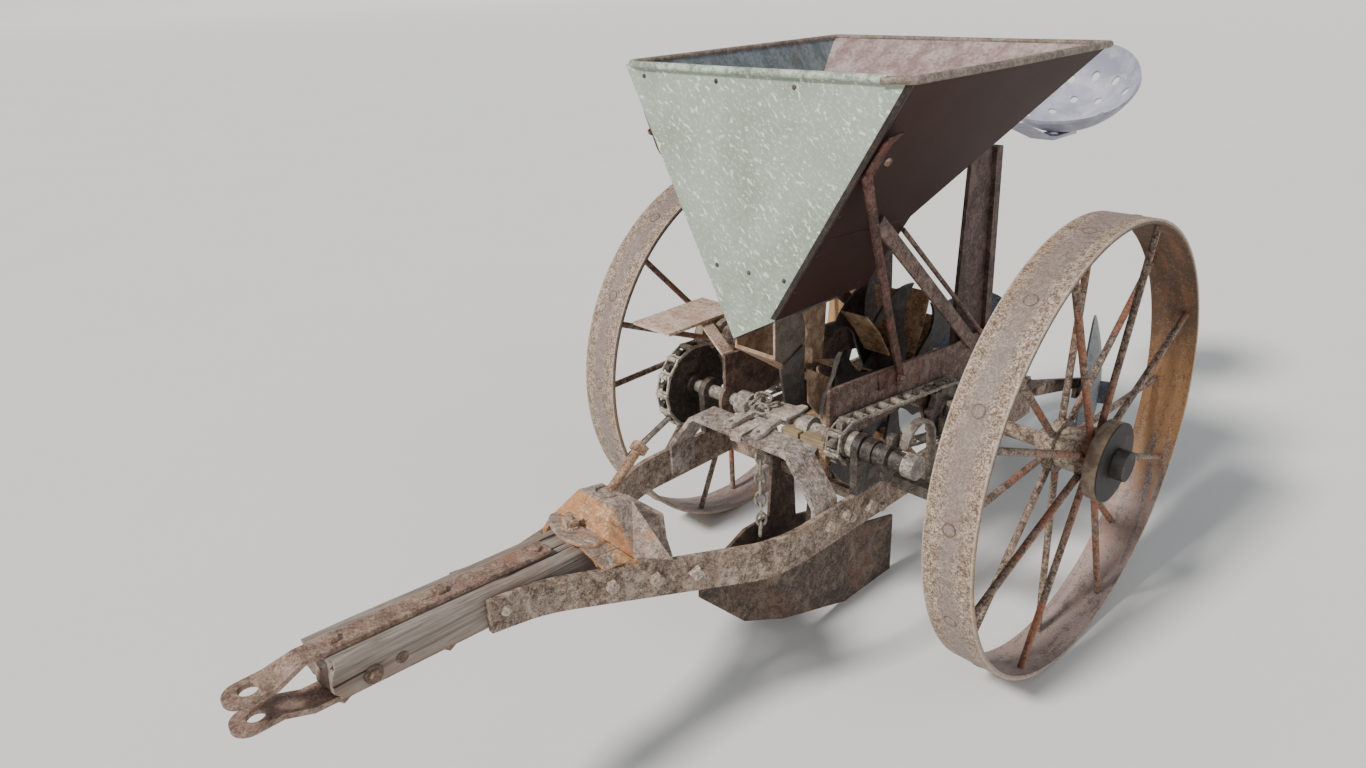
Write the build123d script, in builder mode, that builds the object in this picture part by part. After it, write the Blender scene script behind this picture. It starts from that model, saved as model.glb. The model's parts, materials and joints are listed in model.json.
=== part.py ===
from build123d import *
from math import atan2, cos, degrees, pi, radians, sin, sqrt, tan
import os

os.makedirs("parts", exist_ok=True)

# Towed potato planter with one row, millimetres.
# +X is the machine's left side, -Y is forward (the tongue) and Z is up from the ground.
# Every place along the machine is first a station, counted rearward from the axle,
# and station() turns it into the part's own Y, whose zero is halfway along the machine.

# Ground wheels
wheel_radius = 457.0
rim_width = 95.0
rim_thickness = 9.0
track = 903.0
spoke_count = 16
spoke_radius = 7.0
spoke_stagger = 24.0
hub_radius = 42.0
hub_bell_radius = 55.0
hub_length = 100.0
drum_radius = 79.0
drum_depth = 28.0
drum_wall = 5.0
knob_radius = 30.0
knob_depth = 25.0
axle_radius = 16.0
running_clearance = 0.08
seat_gap = 0.3

# Frame rails and boards
rail_thickness = 10.0
rail_spread = 200.0
rail_top = 420.0
rail_depth = 74.0
rail_nose_top = 488.0
rail_nose_depth = 58.0
rail_front = -1085.0
rail_knee = -985.0
rail_bend = -560.0
rail_rise_start = -620.0
rail_rear = 314.0
board_spread = 135.0
board_thickness = 8.0
board_top = 582.0
board_front_top = 618.0
board_level = 48.0
board_bottom = 498.0
board_front = -372.0
board_rear = 215.0
cheek_reach = 62.0
cheek_drop = 432.0

# Tongue and hitch
beam_width = 92.0
beam_depth = 70.0
beam_front = -1328.0
beam_rear = -850.0
beam_front_top = 512.0
beam_rear_top = 486.0
strap_width = 52.0
strap_thickness = 9.0
strap_rear = -943.0
hitch_reach = 1452.0
hitch_offset = 17.0
hitch_pin_radius = 13.0
hitch_pin_inset = 34.0

# Arch and gusset
arch_front = -482.0
arch_width = 66.0
arch_thickness = 9.0
arch_top = 521.0
arch_half_top = 124.0
gusset_thickness = 8.0

# Countershaft with its chains
shaft_station = -350.0
shaft_height = 512.0
shaft_radius = 14.0
shaft_reach = 322.0
chain_pitch = 41.3
chain_width = 34.0
link_depth = 9.0
link_side = 6.0
link_bar = 11.0
tooth_width = 13.0
tooth_height = 11.0
tooth_root = 18.0
tooth_slope = 70.0
sprocket_hub_wall = 14.0
sprocket_hub_length = 32.0

# Hopper
hopper_top = 1191.0
hopper_front = -430.0
hopper_rear = 224.0
hopper_half_width = 325.0
hopper_throat_half = 51.0
hopper_throat_rear = -150.0
hopper_seam = 903.0
hopper_near_low = 750.0
hopper_far_low = 692.0
sheet = 3.0
rim_bead = 8.0

# Picker wheel
picker_radius = 250.0
picker_disc_radius = 100.0
picker_disc_half = 6.0
picker_hub_radius = 34.0
picker_half_width = 40.0
picker_hub_half = 50.0
blade_thickness = 6.0
blade_count = 6
paddle_count = 12
paddle_thickness = 4.0

# Seat
seat_station = 776.0
seat_height = 1038.0
seat_width = 310.0
seat_depth = 336.0
seat_dish = 190.0
seat_tilt = 28.0
seat_sheet = 4.0
seat_hole_radius = 10.0
seat_hole_rings = (
    # radius of the ring, holes
    (118.0, 12),
    (64.0, 6),
)

# Covering discs
disc_radius = 200.0
disc_station = 690.0
disc_height = 275.0
disc_spread = 215.0
disc_toe = 20.0
disc_sheet = 4.0
disc_dish = 560.0

toe = radians(disc_toe)
dish_depth = disc_dish - sqrt(disc_dish**2 - disc_radius**2)
tilt = radians(seat_tilt)
seat_reach = seat_station + seat_depth / 2 * cos(tilt)
rear_reach = max(seat_reach, disc_station + disc_radius * cos(toe) - dish_depth * sin(toe))
axle_y = (hitch_reach - rear_reach) / 2
axle_z = wheel_radius


def station(y):
    """Part Y of a place counted rearward from the axle."""
    return axle_y + y


def save(name, builder):
    builder.part.label = name
    export_step(builder.part, f"parts/{name}.step")


def side_view(x=0.0):
    """Plane seen from the side: its x runs rearward, its y runs up."""
    return Plane(origin=(x, axle_y, 0), x_dir=(0, 1, 0), z_dir=(1, 0, 0))


def front_view(y):
    """Plane seen along the machine at a station: its x runs to the left side, its y up."""
    return Plane(origin=(0, station(y), 0), x_dir=(1, 0, 0), z_dir=(0, -1, 0))


def top_view(z):
    """Plane seen from above at a height, with its origin over the axle."""
    return Plane(origin=(0, axle_y, z), x_dir=(1, 0, 0), z_dir=(0, 0, 1))


# Side rails: flat bars on edge that close in to clasp the tongue
rail_nose_half = beam_width / 2 + rail_thickness / 2
with BuildPart() as side_rails:
    with BuildSketch(top_view(0)):
        with BuildLine():
            FilletPolyline(
                (rail_nose_half, rail_front),
                (rail_nose_half, rail_knee),
                (rail_spread, rail_bend),
                (rail_spread, rail_rear),
                radius=260,
            )
        trace(line_width=rail_thickness)
    extrude(amount=wheel_radius * 2)
    with BuildSketch(side_view()):
        with BuildLine():
            Polyline(
                (rail_front, rail_nose_top),
                (rail_rise_start, rail_top),
                (rail_rear, rail_top),
                (rail_rear, rail_top - rail_depth),
                (rail_rise_start, rail_top - rail_depth),
                (rail_front, rail_nose_top - rail_nose_depth),
                close=True,
            )
        make_face()
    extrude(amount=track / 2, both=True, mode=Mode.INTERSECT)
    mirror(about=Plane.YZ)
save("side_rails", side_rails)

# Tongue beam: sawn timber, with its top rising a little to the front
beam_slope = atan2(beam_front_top - beam_rear_top, beam_rear - beam_front)
with BuildPart() as tongue_beam:
    with BuildSketch(side_view()):
        with BuildLine():
            Polyline(
                (beam_front, beam_front_top),
                (beam_rear, beam_rear_top),
                (beam_rear, beam_rear_top - beam_depth),
                (beam_front, beam_front_top - beam_depth),
                close=True,
            )
        make_face()
    extrude(amount=beam_width / 2, both=True)
save("tongue_beam", tongue_beam)

# Hitch straps: one along the top and one under the beam, cranked in to form the clevis
hitch_pin_station = -hitch_reach + hitch_pin_inset
crank_front = beam_front - 62
strap_run = beam_front - 22
strap_table = (
    # name, side of the beam, rear end
    ("hitch_strap_upper", 1, strap_rear),
    ("hitch_strap_lower", -1, strap_rear - 120),
)
beam_mid_front = beam_front_top - beam_depth / 2
ear_gap_half = beam_depth / 2 - hitch_offset
for name, up, rear in strap_table:
    lie = up * (beam_depth / 2 + strap_thickness / 2 / cos(beam_slope) + seat_gap)
    ear = beam_mid_front + up * (ear_gap_half + strap_thickness / 2)
    with BuildPart() as hitch_strap:
        with BuildSketch(side_view()):
            with BuildLine():
                Polyline(
                    (-hitch_reach, ear),
                    (crank_front, ear),
                    (strap_run, beam_mid_front - (strap_run - beam_front) * tan(beam_slope) + lie),
                    (rear, beam_mid_front - (rear - beam_front) * tan(beam_slope) + lie),
                )
            trace(line_width=strap_thickness)
        extrude(amount=strap_width / 2, both=True)
        with BuildSketch(top_view(0)):
            with Locations((0, (rear - hitch_reach) / 2)):
                Rectangle(strap_width, rear + hitch_reach)
            fillet(vertices().group_by(Axis.Y)[0], strap_width / 2 - 1)
            with Locations((0, hitch_pin_station)):
                Circle(hitch_pin_radius, mode=Mode.SUBTRACT)
        extrude(amount=wheel_radius * 2, mode=Mode.INTERSECT)
    save(name, hitch_strap)

# Gusset plate: pressed hat over the rails, its crown lying on the rear end of the beam
gusset_front = -892.0
gusset_rear = -776.0
gusset_crown = -722.0
gusset_front_half = 74.0
gusset_rear_half = 134.0
crown_half = beam_width / 2 + 4
crown_foot = crown_half + 24
rail_rise = (rail_nose_top - rail_top) / (rail_rise_start - rail_front)


def rail_edge_top(y):
    """Height of the rail's upper edge at a station on its rising part."""
    return rail_top + max(0.0, rail_rise_start - y) * rail_rise


crown_rise = (beam_rear_top - rail_edge_top(beam_rear)) * cos(rail_rise) + seat_gap
gusset_plane = Plane(
    origin=(0, station(gusset_crown), rail_edge_top(gusset_crown)),
    x_dir=(1, 0, 0),
    z_dir=(0, -1, rail_rise),
)
lever_x = -34.0
lever_radius = 10.0
lever_foot = Vector(lever_x, station(gusset_rear - 26), rail_edge_top(gusset_rear) - 12)
lever_knee = Vector(lever_x - 16, station(gusset_rear + 86), rail_edge_top(gusset_rear) + 98)
lever_tip = Vector(lever_x - 18, station(gusset_rear + 160), rail_edge_top(gusset_rear) + 152)
lever_line = lever_knee - lever_foot
with BuildPart() as gusset_plate:
    with BuildSketch(gusset_plane):
        with BuildLine():
            FilletPolyline(
                (-gusset_rear_half, gusset_thickness / 2),
                (-crown_foot, gusset_thickness / 2),
                (-crown_half, crown_rise + gusset_thickness / 2),
                (crown_half, crown_rise + gusset_thickness / 2),
                (crown_foot, gusset_thickness / 2),
                (gusset_rear_half, gusset_thickness / 2),
                radius=9,
            )
        trace(line_width=gusset_thickness)
    extrude(amount=gusset_crown - gusset_front + 20)
    with BuildSketch(top_view(0)):
        with BuildLine():
            Polyline(
                (-gusset_front_half, gusset_front),
                (gusset_front_half, gusset_front),
                (gusset_rear_half - 4, gusset_rear),
                (crown_half, gusset_crown),
                (-crown_half, gusset_crown),
                (-gusset_rear_half + 4, gusset_rear),
                close=True,
            )
        make_face()
    extrude(amount=2 * wheel_radius, mode=Mode.INTERSECT)
    with BuildSketch(Plane(origin=lever_foot, z_dir=lever_line)):
        Circle(lever_radius + seat_gap)
    extrude(amount=lever_line.length, mode=Mode.SUBTRACT)
save("gusset_plate", gusset_plate)

# Arch bridge: broad strap bent over from rail to rail
arch_foot = rail_spread - rail_thickness / 2 - arch_thickness / 2
arch_foot_low = rail_top - rail_depth + 12
arch_foot_bend = rail_top + 12
with BuildPart() as arch_bridge:
    with BuildSketch(front_view(arch_front)):
        with BuildLine():
            FilletPolyline(
                (-arch_foot, arch_foot_low),
                (-arch_foot, arch_foot_bend),
                (-arch_half_top, arch_top - arch_thickness / 2),
                (arch_half_top, arch_top - arch_thickness / 2),
                (arch_foot, arch_foot_bend),
                (arch_foot, arch_foot_low),
                radius=14,
            )
        trace(line_width=arch_thickness)
    extrude(amount=-arch_width)
    with BuildSketch(top_view(arch_top - 2 * arch_thickness)):
        for x, inset, radius in (
            # place along X, distance behind the front edge, radius of the hole
            (-100, 14, 5),
            (98, 14, 5),
        ):
            with Locations((x, arch_front + inset)):
                Circle(radius)
    extrude(amount=4 * arch_thickness, mode=Mode.SUBTRACT)
save("arch_bridge", arch_bridge)

# Levers lying on the arch: two eye bars, the left one with a broad plate behind it over the countershaft
lever_plate = 8.0
lever_lift = 6.0
eye_radius = 15.0
eye_hole = 6.0
bar_breadth = 22.0
eye_table = (
    # X of the eye, station of the eye, X of the rear end, station of the rear end
    (-38, arch_front + 28, -40, arch_front + 90),
    (36, arch_front + 28, 24, arch_front + 98),
)
with BuildPart() as arch_levers:
    for eye_x, eye_y, end_x, end_y in eye_table:
        with BuildSketch(top_view(arch_top + seat_gap)):
            with BuildLine():
                Line((eye_x, eye_y), (end_x, end_y))
            trace(line_width=bar_breadth)
            with Locations((eye_x, eye_y)):
                Circle(eye_radius)
                Circle(eye_hole, mode=Mode.SUBTRACT)
        extrude(amount=lever_lift)
    with BuildSketch(top_view(arch_top + seat_gap + lever_lift)):
        with BuildLine():
            Polyline((12, -392), (-16, -382), (-12, -320), (40, -312), (47, -345), (44, -384), close=True)
        make_face()
    extrude(amount=lever_plate)
save("arch_levers", arch_levers)

# Side boards: plates that carry the hopper, the seat and the feed gear over the axle
with BuildPart() as side_boards:
    with BuildSketch(side_view(board_spread - board_thickness / 2)):
        with BuildLine():
            Polyline(
                (board_front, board_bottom),
                (board_front, board_front_top),
                (board_level, board_top),
                (board_rear, board_top),
                (board_rear, board_bottom),
                (cheek_reach, board_bottom),
                (cheek_reach * 0.6, cheek_drop),
                (-cheek_reach * 0.6, cheek_drop),
                (-cheek_reach, board_bottom),
                close=True,
            )
        make_face()
        with Locations((0, axle_z)):
            Circle(axle_radius, mode=Mode.SUBTRACT)
        with Locations((shaft_station, shaft_height)):
            Circle(shaft_radius + 22)
            Circle(shaft_radius, mode=Mode.SUBTRACT)
    extrude(amount=board_thickness)
    mirror(about=Plane.YZ)
save("side_boards", side_boards)

# Axle and its two bearings on the rails
hub_inner = track / 2 - hub_length / 2
axle_end = hub_inner + hub_length + 12
with BuildPart() as axle:
    with BuildSketch(side_view()):
        with Locations((0, axle_z)):
            Circle(axle_radius)
    extrude(amount=axle_end, both=True)
    with BuildSketch(side_view(hub_inner - 20)):
        with Locations((0, axle_z)):
            Circle(axle_radius + 9)
    extrude(amount=20 - 1)
    with BuildSketch(side_view(-hub_inner + 1)):
        with Locations((0, axle_z)):
            Circle(axle_radius + 9)
    extrude(amount=20 - 1)
save("axle", axle)

with BuildPart() as axle_bearings:
    with BuildSketch(side_view(rail_spread - 22)):
        with Locations((0, axle_z)):
            Circle(axle_radius + 14)
        with Locations((0, rail_top + (axle_z - rail_top) / 2)):
            Rectangle(96, axle_z - rail_top)
        with Locations((0, axle_z)):
            Circle(axle_radius, mode=Mode.SUBTRACT)
    extrude(amount=44)
    mirror(about=Plane.YZ)
save("axle_bearings", axle_bearings)

# Countershaft with collars, and its pedestals on the rails
with BuildPart() as countershaft:
    with BuildSketch(side_view(-shaft_reach)):
        with Locations((shaft_station, shaft_height)):
            Circle(shaft_radius)
    extrude(amount=2 * shaft_reach)
    for x, width, extra in (
        # start along X, width, height of the collar over the shaft
        (-108, 34, 12),
        (-60, 20, 8),
        (58, 26, 10),
        (177, 13, 11),
        (shaft_reach - 24, 24, 9),
    ):
        with BuildSketch(side_view(x)):
            with Locations((shaft_station, shaft_height)):
                Circle(shaft_radius + extra)
        extrude(amount=width)
save("countershaft", countershaft)

pedestal_thickness = 16.0
pedestal_head = 28.0
pedestal_foot = 96.0
with BuildPart() as shaft_pedestals:
    with BuildSketch(side_view(rail_spread - pedestal_thickness / 2)):
        with Locations((shaft_station, shaft_height)):
            Circle(pedestal_head)
        with BuildLine():
            Polyline(
                (shaft_station - pedestal_head + 4, rail_top),
                (shaft_station - pedestal_head + 2, shaft_height),
                (shaft_station + pedestal_head - 2, shaft_height),
                (shaft_station - pedestal_head + pedestal_foot, rail_top),
                close=True,
            )
        make_face()
        with Locations((shaft_station, shaft_height)):
            Circle(shaft_radius, mode=Mode.SUBTRACT)
    extrude(amount=pedestal_thickness)
    mirror(about=Plane.YZ)
save("shaft_pedestals", shaft_pedestals)


def pitch_radius(teeth):
    return chain_pitch / (2 * sin(pi / teeth))


# Sprockets and ladder chains: name, X of the middle, teeth in front, teeth behind, links in the loop
drive_table = (
    ("picker_drive", 159.0, 6, 9, 25),
    ("axle_drive", -252.0, 14, 8, 28),
)
for name, x_mid, front_teeth, rear_teeth, links in drive_table:
    with BuildSketch() as pitch_line:
        with Locations((shaft_station, shaft_height)):
            Circle(pitch_radius(front_teeth))
        with Locations((0, axle_z)):
            Circle(pitch_radius(rear_teeth))
        make_hull()
    pitch_loop = pitch_line.sketch.face().outer_wire()
    pins = [pitch_loop @ (i / links) for i in range(links)]
    foremost = min(pins, key=lambda pin: pin.X)
    rearmost = max(pins, key=lambda pin: pin.X)

    ends = (
        # station, height, teeth, bore, the pin in the middle of the wrap
        (shaft_station, shaft_height, front_teeth, shaft_radius, foremost),
        (0.0, axle_z, rear_teeth, axle_radius, rearmost),
    )
    with BuildPart() as sprockets:
        for y, z, teeth, bore, pin in ends:
            root = pitch_radius(teeth) - link_bar / 2 - seat_gap
            first_tooth = degrees(atan2(pin.Y - z, pin.X - y)) + 180 / teeth
            with BuildSketch(side_view(x_mid - tooth_width / 2)):
                with Locations((y, z)):
                    Circle(root)
                    with PolarLocations(root + tooth_height / 2 - 1, teeth, start_angle=first_tooth):
                        Trapezoid(tooth_root, tooth_height + 2, tooth_slope, rotation=-90)
                    Circle(bore, mode=Mode.SUBTRACT)
            extrude(amount=tooth_width)
            with BuildSketch(side_view(x_mid - sprocket_hub_length / 2)):
                with Locations((y, z)):
                    Circle(bore + sprocket_hub_wall)
                    Circle(bore, mode=Mode.SUBTRACT)
            extrude(amount=sprocket_hub_length)
    save(name + "_sprockets", sprockets)

    with BuildPart() as chain:
        for x_side in (x_mid - chain_width / 2, x_mid + chain_width / 2 - link_side):
            with BuildSketch(side_view(x_side)):
                for start, end in zip(pins, pins[1:] + pins[:1]):
                    run = end - start
                    with Locations(Location((start + end) / 2, (0, 0, degrees(atan2(run.Y, run.X))))):
                        Rectangle(run.length, link_depth)
            extrude(amount=link_side)
        with BuildSketch(side_view(x_mid - chain_width / 2)):
            for pin in pins:
                with Locations((pin.X, pin.Y)):
                    RegularPolygon(link_bar / 2, 8)
        extrude(amount=chain_width)
    save(name + "_chain", chain)

# Clutch casting on the end of the countershaft, with its curved hook band
clutch_table = (
    # start along X, width, radius of the round part
    (212, 22, 25),
    (234, 20, 20),
    (254, 14, 30),
    (268, 28, 19),
)
lug_start, lug_width = 254, 14
lug_length = 94.0
lug_breadth = 24.0
lug_lean = 12.0
with BuildPart() as clutch_casting:
    for x, width, radius in clutch_table:
        with BuildSketch(side_view(x)):
            with Locations((shaft_station, shaft_height)):
                Circle(radius)
                Circle(shaft_radius, mode=Mode.SUBTRACT)
        extrude(amount=width)
    with BuildSketch(side_view(lug_start)):
        with Locations((shaft_station, shaft_height)):
            SlotOverall(lug_length, lug_breadth, rotation=90 - lug_lean)
            Circle(shaft_radius, mode=Mode.SUBTRACT)
    extrude(amount=lug_width)
save("clutch_casting", clutch_casting)

band_x = 270.0
band_width = 18.0
band_thickness = 6.0
band_station = shaft_station + 62
band_height = shaft_height + 12
band_radius = 45.0
band_foot = rail_top - 18
foot_length = 30.0
foot_depth = 24.0
with BuildPart() as hook_band:
    with BuildSketch(side_view(band_x)):
        with BuildLine():
            ThreePointArc(
                (band_station - band_radius, band_height + 6),
                (band_station, band_height + band_radius),
                (band_station + band_radius, band_height),
            )
            Line((band_station + band_radius, band_height), (band_station + band_radius + 10, band_foot))
        trace(line_width=band_thickness)
    extrude(amount=band_width)
    with BuildSketch(side_view(rail_spread + rail_thickness / 2)):
        with Locations((band_station + band_radius + 4, band_foot)):
            Rectangle(foot_length, foot_depth)
    extrude(amount=band_x + band_width - rail_spread - rail_thickness / 2)
save("hook_band", hook_band)

# Lift lever: round rod through the gusset with a thin pull rod beyond it
with BuildPart() as lift_lever:
    for start, end, radius in ((lever_foot, lever_knee, lever_radius), (lever_knee, lever_tip, 4)):
        with BuildSketch(Plane(origin=start, z_dir=end - start)):
            Circle(radius)
        extrude(amount=(end - start).length)
save("lift_lever", lift_lever)

# Lift chain: plain links that hang from the arch
link_count = 7
link_length = 34.0
link_wire = 6.0
with BuildPart() as lift_chain:
    for i in range(link_count):
        link_mid = arch_top - arch_thickness - seat_gap - link_length / 2 - i * (link_length - 2 * link_wire - 1)
        turned = i % 2 == 0
        plane = Plane(
            origin=(16, station(arch_front + arch_width / 2), link_mid),
            x_dir=(0, 0, 1),
            z_dir=(1, 0, 0) if turned else (0, 1, 0),
        )
        with BuildSketch(plane):
            SlotOverall(link_length, link_length * 0.62)
            SlotOverall(link_length - 2 * link_wire, link_length * 0.62 - 2 * link_wire, mode=Mode.SUBTRACT)
        extrude(amount=link_wire / 2, both=True)
save("lift_chain", lift_chain)

# Furrow opener: boat-shaped shoe of two plates closed at the nose
shoe_half = 56.0
shoe_plate = 7.0
shoe_nose = -598.0
shoe_rear = -12.0
shoe_sole_front = -190.0
shoe_top = 250.0
crossbar_station = -286.0
crossbar_height = 358.0
crossbar_thickness = 12.0
crossbar_depth = 24.0
with BuildPart() as furrow_opener:
    with BuildSketch(top_view(0)):
        with BuildLine():
            Polyline(
                (0, shoe_nose),
                (shoe_half, shoe_nose + 190),
                (shoe_half, shoe_rear),
                (-shoe_half, shoe_rear),
                (-shoe_half, shoe_nose + 190),
                close=True,
            )
        make_face()
        with BuildLine():
            Polyline(
                (0, shoe_nose + shoe_plate * 3.4),
                (shoe_half - shoe_plate, shoe_nose + 190 + shoe_plate * 0.5),
                (shoe_half - shoe_plate, shoe_rear + 1),
                (-shoe_half + shoe_plate, shoe_rear + 1),
                (-shoe_half + shoe_plate, shoe_nose + 190 + shoe_plate * 0.5),
                close=True,
            )
        make_face(mode=Mode.SUBTRACT)
    extrude(amount=wheel_radius)
    with BuildSketch(side_view()):
        with BuildLine():
            Polyline(
                (shoe_rear, 0),
                (shoe_sole_front, 0),
                (shoe_nose + 100, 105),
                (shoe_nose, 205),
                (shoe_nose, 238),
                (shoe_nose + 60, shoe_top),
                (-330, shoe_top),
                (-318, 384),
                (-254, 384),
                (-240, shoe_top - 40),
                (shoe_rear, 150),
                close=True,
            )
        make_face()
    extrude(amount=shoe_half, both=True, mode=Mode.INTERSECT)
    with BuildSketch(side_view()):
        with Locations((crossbar_station, crossbar_height)):
            Rectangle(crossbar_thickness + 2 * seat_gap, crossbar_depth + 2 * seat_gap)
    extrude(amount=shoe_half, both=True, mode=Mode.SUBTRACT)
save("furrow_opener", furrow_opener)

# Opener crossbar: runs from rail to rail through the shoe's ears
crossbar_half = rail_spread - rail_thickness / 2
with BuildPart() as opener_crossbar:
    with BuildSketch(side_view(-crossbar_half)):
        with Locations((crossbar_station, crossbar_height)):
            Rectangle(crossbar_thickness, crossbar_depth)
    extrude(amount=2 * crossbar_half)
save("opener_crossbar", opener_crossbar)

# Hopper sheets
near_run = hopper_half_width - hopper_throat_half
rear_slope = (hopper_rear - hopper_throat_rear) / (hopper_top - hopper_seam)
sheet_top = hopper_top - rim_bead


def side_x(z, low):
    """Outer face of a hopper side sheet at a height, for the side with that low edge."""
    return hopper_throat_half + near_run * (z - low) / (hopper_top - low)


def rear_station(z):
    """Outer face of the hopper's rear sheet at a height: upright below the seam, sloping above it."""
    return hopper_throat_rear + max(0.0, z - hopper_seam) * rear_slope


with BuildPart() as hopper_front_sheet:
    with BuildSketch(front_view(hopper_front)):
        with BuildLine():
            Polyline(
                (side_x(sheet_top, hopper_near_low), sheet_top),
                (hopper_throat_half, hopper_near_low),
                (-hopper_throat_half, hopper_far_low),
                (-side_x(sheet_top, hopper_far_low), sheet_top),
                close=True,
            )
        make_face()
    extrude(amount=-sheet)
save("hopper_front_sheet", hopper_front_sheet)

for name, side, low in (
    ("hopper_side_left", 1, hopper_near_low),
    ("hopper_side_right", -1, hopper_far_low),
):
    across = sheet * sqrt(near_run**2 + (hopper_top - low) ** 2) / (hopper_top - low)
    with BuildPart() as hopper_side:
        with BuildSketch(front_view(hopper_front + sheet)):
            with BuildLine():
                Polyline(
                    (side * side_x(sheet_top, low), sheet_top),
                    (side * hopper_throat_half, low),
                    (side * (hopper_throat_half - across), low),
                    (side * (side_x(sheet_top, low) - across), sheet_top),
                    close=True,
                )
            make_face()
        extrude(amount=-(hopper_rear - hopper_front - sheet))
        with BuildSketch(side_view()):
            with BuildLine():
                Polyline(
                    (hopper_front + sheet, sheet_top),
                    (hopper_front + sheet, low),
                    (hopper_throat_rear, low),
                    (hopper_throat_rear, hopper_seam),
                    (rear_station(sheet_top), sheet_top),
                    close=True,
                )
            make_face()
        extrude(amount=track / 2, both=True, mode=Mode.INTERSECT)
    save(name, hopper_side)

rear_along = sheet * sqrt(1 + rear_slope**2)
near_across = sheet * sqrt(near_run**2 + (hopper_top - hopper_near_low) ** 2) / (hopper_top - hopper_near_low)
far_across = sheet * sqrt(near_run**2 + (hopper_top - hopper_far_low) ** 2) / (hopper_top - hopper_far_low)
with BuildPart() as hopper_rear_sheet:
    with BuildSketch(side_view()):
        with BuildLine():
            Polyline(
                (rear_station(sheet_top), sheet_top),
                (hopper_throat_rear, hopper_seam),
                (hopper_throat_rear, hopper_near_low),
                (hopper_throat_rear - sheet, hopper_near_low),
                (hopper_throat_rear - sheet, hopper_seam + (rear_along - sheet) / rear_slope),
                (rear_station(sheet_top) - rear_along, sheet_top),
                close=True,
            )
        make_face()
    extrude(amount=track / 2, both=True)
    with BuildSketch(front_view(hopper_rear)):
        with BuildLine():
            Polyline(
                (side_x(sheet_top, hopper_near_low) - near_across, sheet_top),
                (side_x(hopper_near_low, hopper_near_low) - near_across, hopper_near_low),
                (-side_x(hopper_near_low, hopper_far_low) + far_across, hopper_near_low),
                (-side_x(sheet_top, hopper_far_low) + far_across, sheet_top),
                close=True,
            )
        make_face()
    extrude(amount=hopper_rear - hopper_front, mode=Mode.INTERSECT)
save("hopper_rear_sheet", hopper_rear_sheet)

with BuildPart() as hopper_rim:
    with BuildSketch(top_view(sheet_top)):
        with Locations((0, (hopper_front + hopper_rear) / 2)):
            RectangleRounded(2 * hopper_half_width, hopper_rear - hopper_front, 12)
            RectangleRounded(
                2 * hopper_half_width - 2 * rim_bead,
                hopper_rear - hopper_front - 2 * rim_bead,
                5,
                mode=Mode.SUBTRACT,
            )
    extrude(amount=rim_bead)
    fillet(hopper_rim.edges().group_by(Axis.Z)[-1], 2.5)
save("hopper_rim", hopper_rim)

# Hopper stays: flat straps up the sides and flat braces back to the seat posts
stay_thickness = 6.0
side_lean = atan2(near_run, hopper_top - hopper_near_low)


def on_side_sheet(z, y, low, lift):
    """Point off the outer face of a side sheet, for the left side."""
    slope = atan2(near_run, hopper_top - low)
    return Vector(side_x(z, low) + lift * cos(slope), station(y), z - lift * sin(slope))


def bar_plane(start, end, flat_dir):
    """Plane at the foot of a flat bar that runs to end, its broad face towards flat_dir."""
    direction = end - start
    return Plane(origin=start, x_dir=flat_dir.cross(direction), z_dir=direction)


def mirrored(point, side):
    return Vector(side * point.X, point.Y, point.Z)


stay_off = stay_thickness / 2 + seat_gap
strap_breadth = 26.0
brace_breadth = 30.0
brace_top = 926.0
brace_top_station = -282.0
brace_foot = 126.0
tie_radius = 5.0
tie_foot = 168.0
strap_foot = -150.0
strap_knee = -385.0
strap_knee_height = 1015.0
strap_head = -372.0
strap_head_height = 1120.0
with BuildPart() as hopper_straps:
    for side, low in ((1, hopper_near_low), (-1, hopper_far_low)):
        foot = Vector(board_spread + board_thickness / 2 + stay_off, station(strap_foot), board_top - 24)
        knee = on_side_sheet(strap_knee_height, strap_knee, low, stay_off + 1)
        top = on_side_sheet(strap_head_height, strap_head, low, stay_off + 1)
        foot, knee, top = (mirrored(p, side) for p in (foot, knee, top))
        with BuildSketch(bar_plane(foot, knee, Vector(side, 0, 0))):
            Rectangle(strap_breadth, stay_thickness)
        extrude(amount=(knee - foot).length)
        outward = Vector(side * cos(side_lean), 0, -sin(side_lean))
        with BuildSketch(bar_plane(knee, top, outward)):
            Rectangle(strap_breadth, stay_thickness)
        extrude(amount=(top - knee).length)
save("hopper_straps", hopper_straps)

# Hopper braces: a flat bar on each side, with a thin tie rod behind it from the hopper's rear corner
with BuildPart() as hopper_braces:
    for side, low in ((1, hopper_near_low), (-1, hopper_far_low)):
        foot = Vector(board_spread + board_thickness / 2 + stay_off, station(brace_foot), board_top - 16)
        top = on_side_sheet(brace_top, brace_top_station, low, stay_off + stay_thickness)
        foot, top = mirrored(foot, side), mirrored(top, side)
        with BuildSketch(bar_plane(foot, top, Vector(side, 0, 0))):
            Rectangle(brace_breadth, stay_thickness)
        extrude(amount=(top - foot).length)
        foot = Vector(board_spread + board_thickness / 2 + seat_gap + tie_radius, station(tie_foot), board_top - 8)
        top = on_side_sheet(hopper_seam - 22, hopper_throat_rear - 8, low, seat_gap + tie_radius)
        foot, top = mirrored(foot, side), mirrored(top, side)
        with BuildSketch(Plane(origin=foot, z_dir=top - foot)):
            Circle(tie_radius)
        extrude(amount=(top - foot).length)
save("hopper_braces", hopper_braces)

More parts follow.
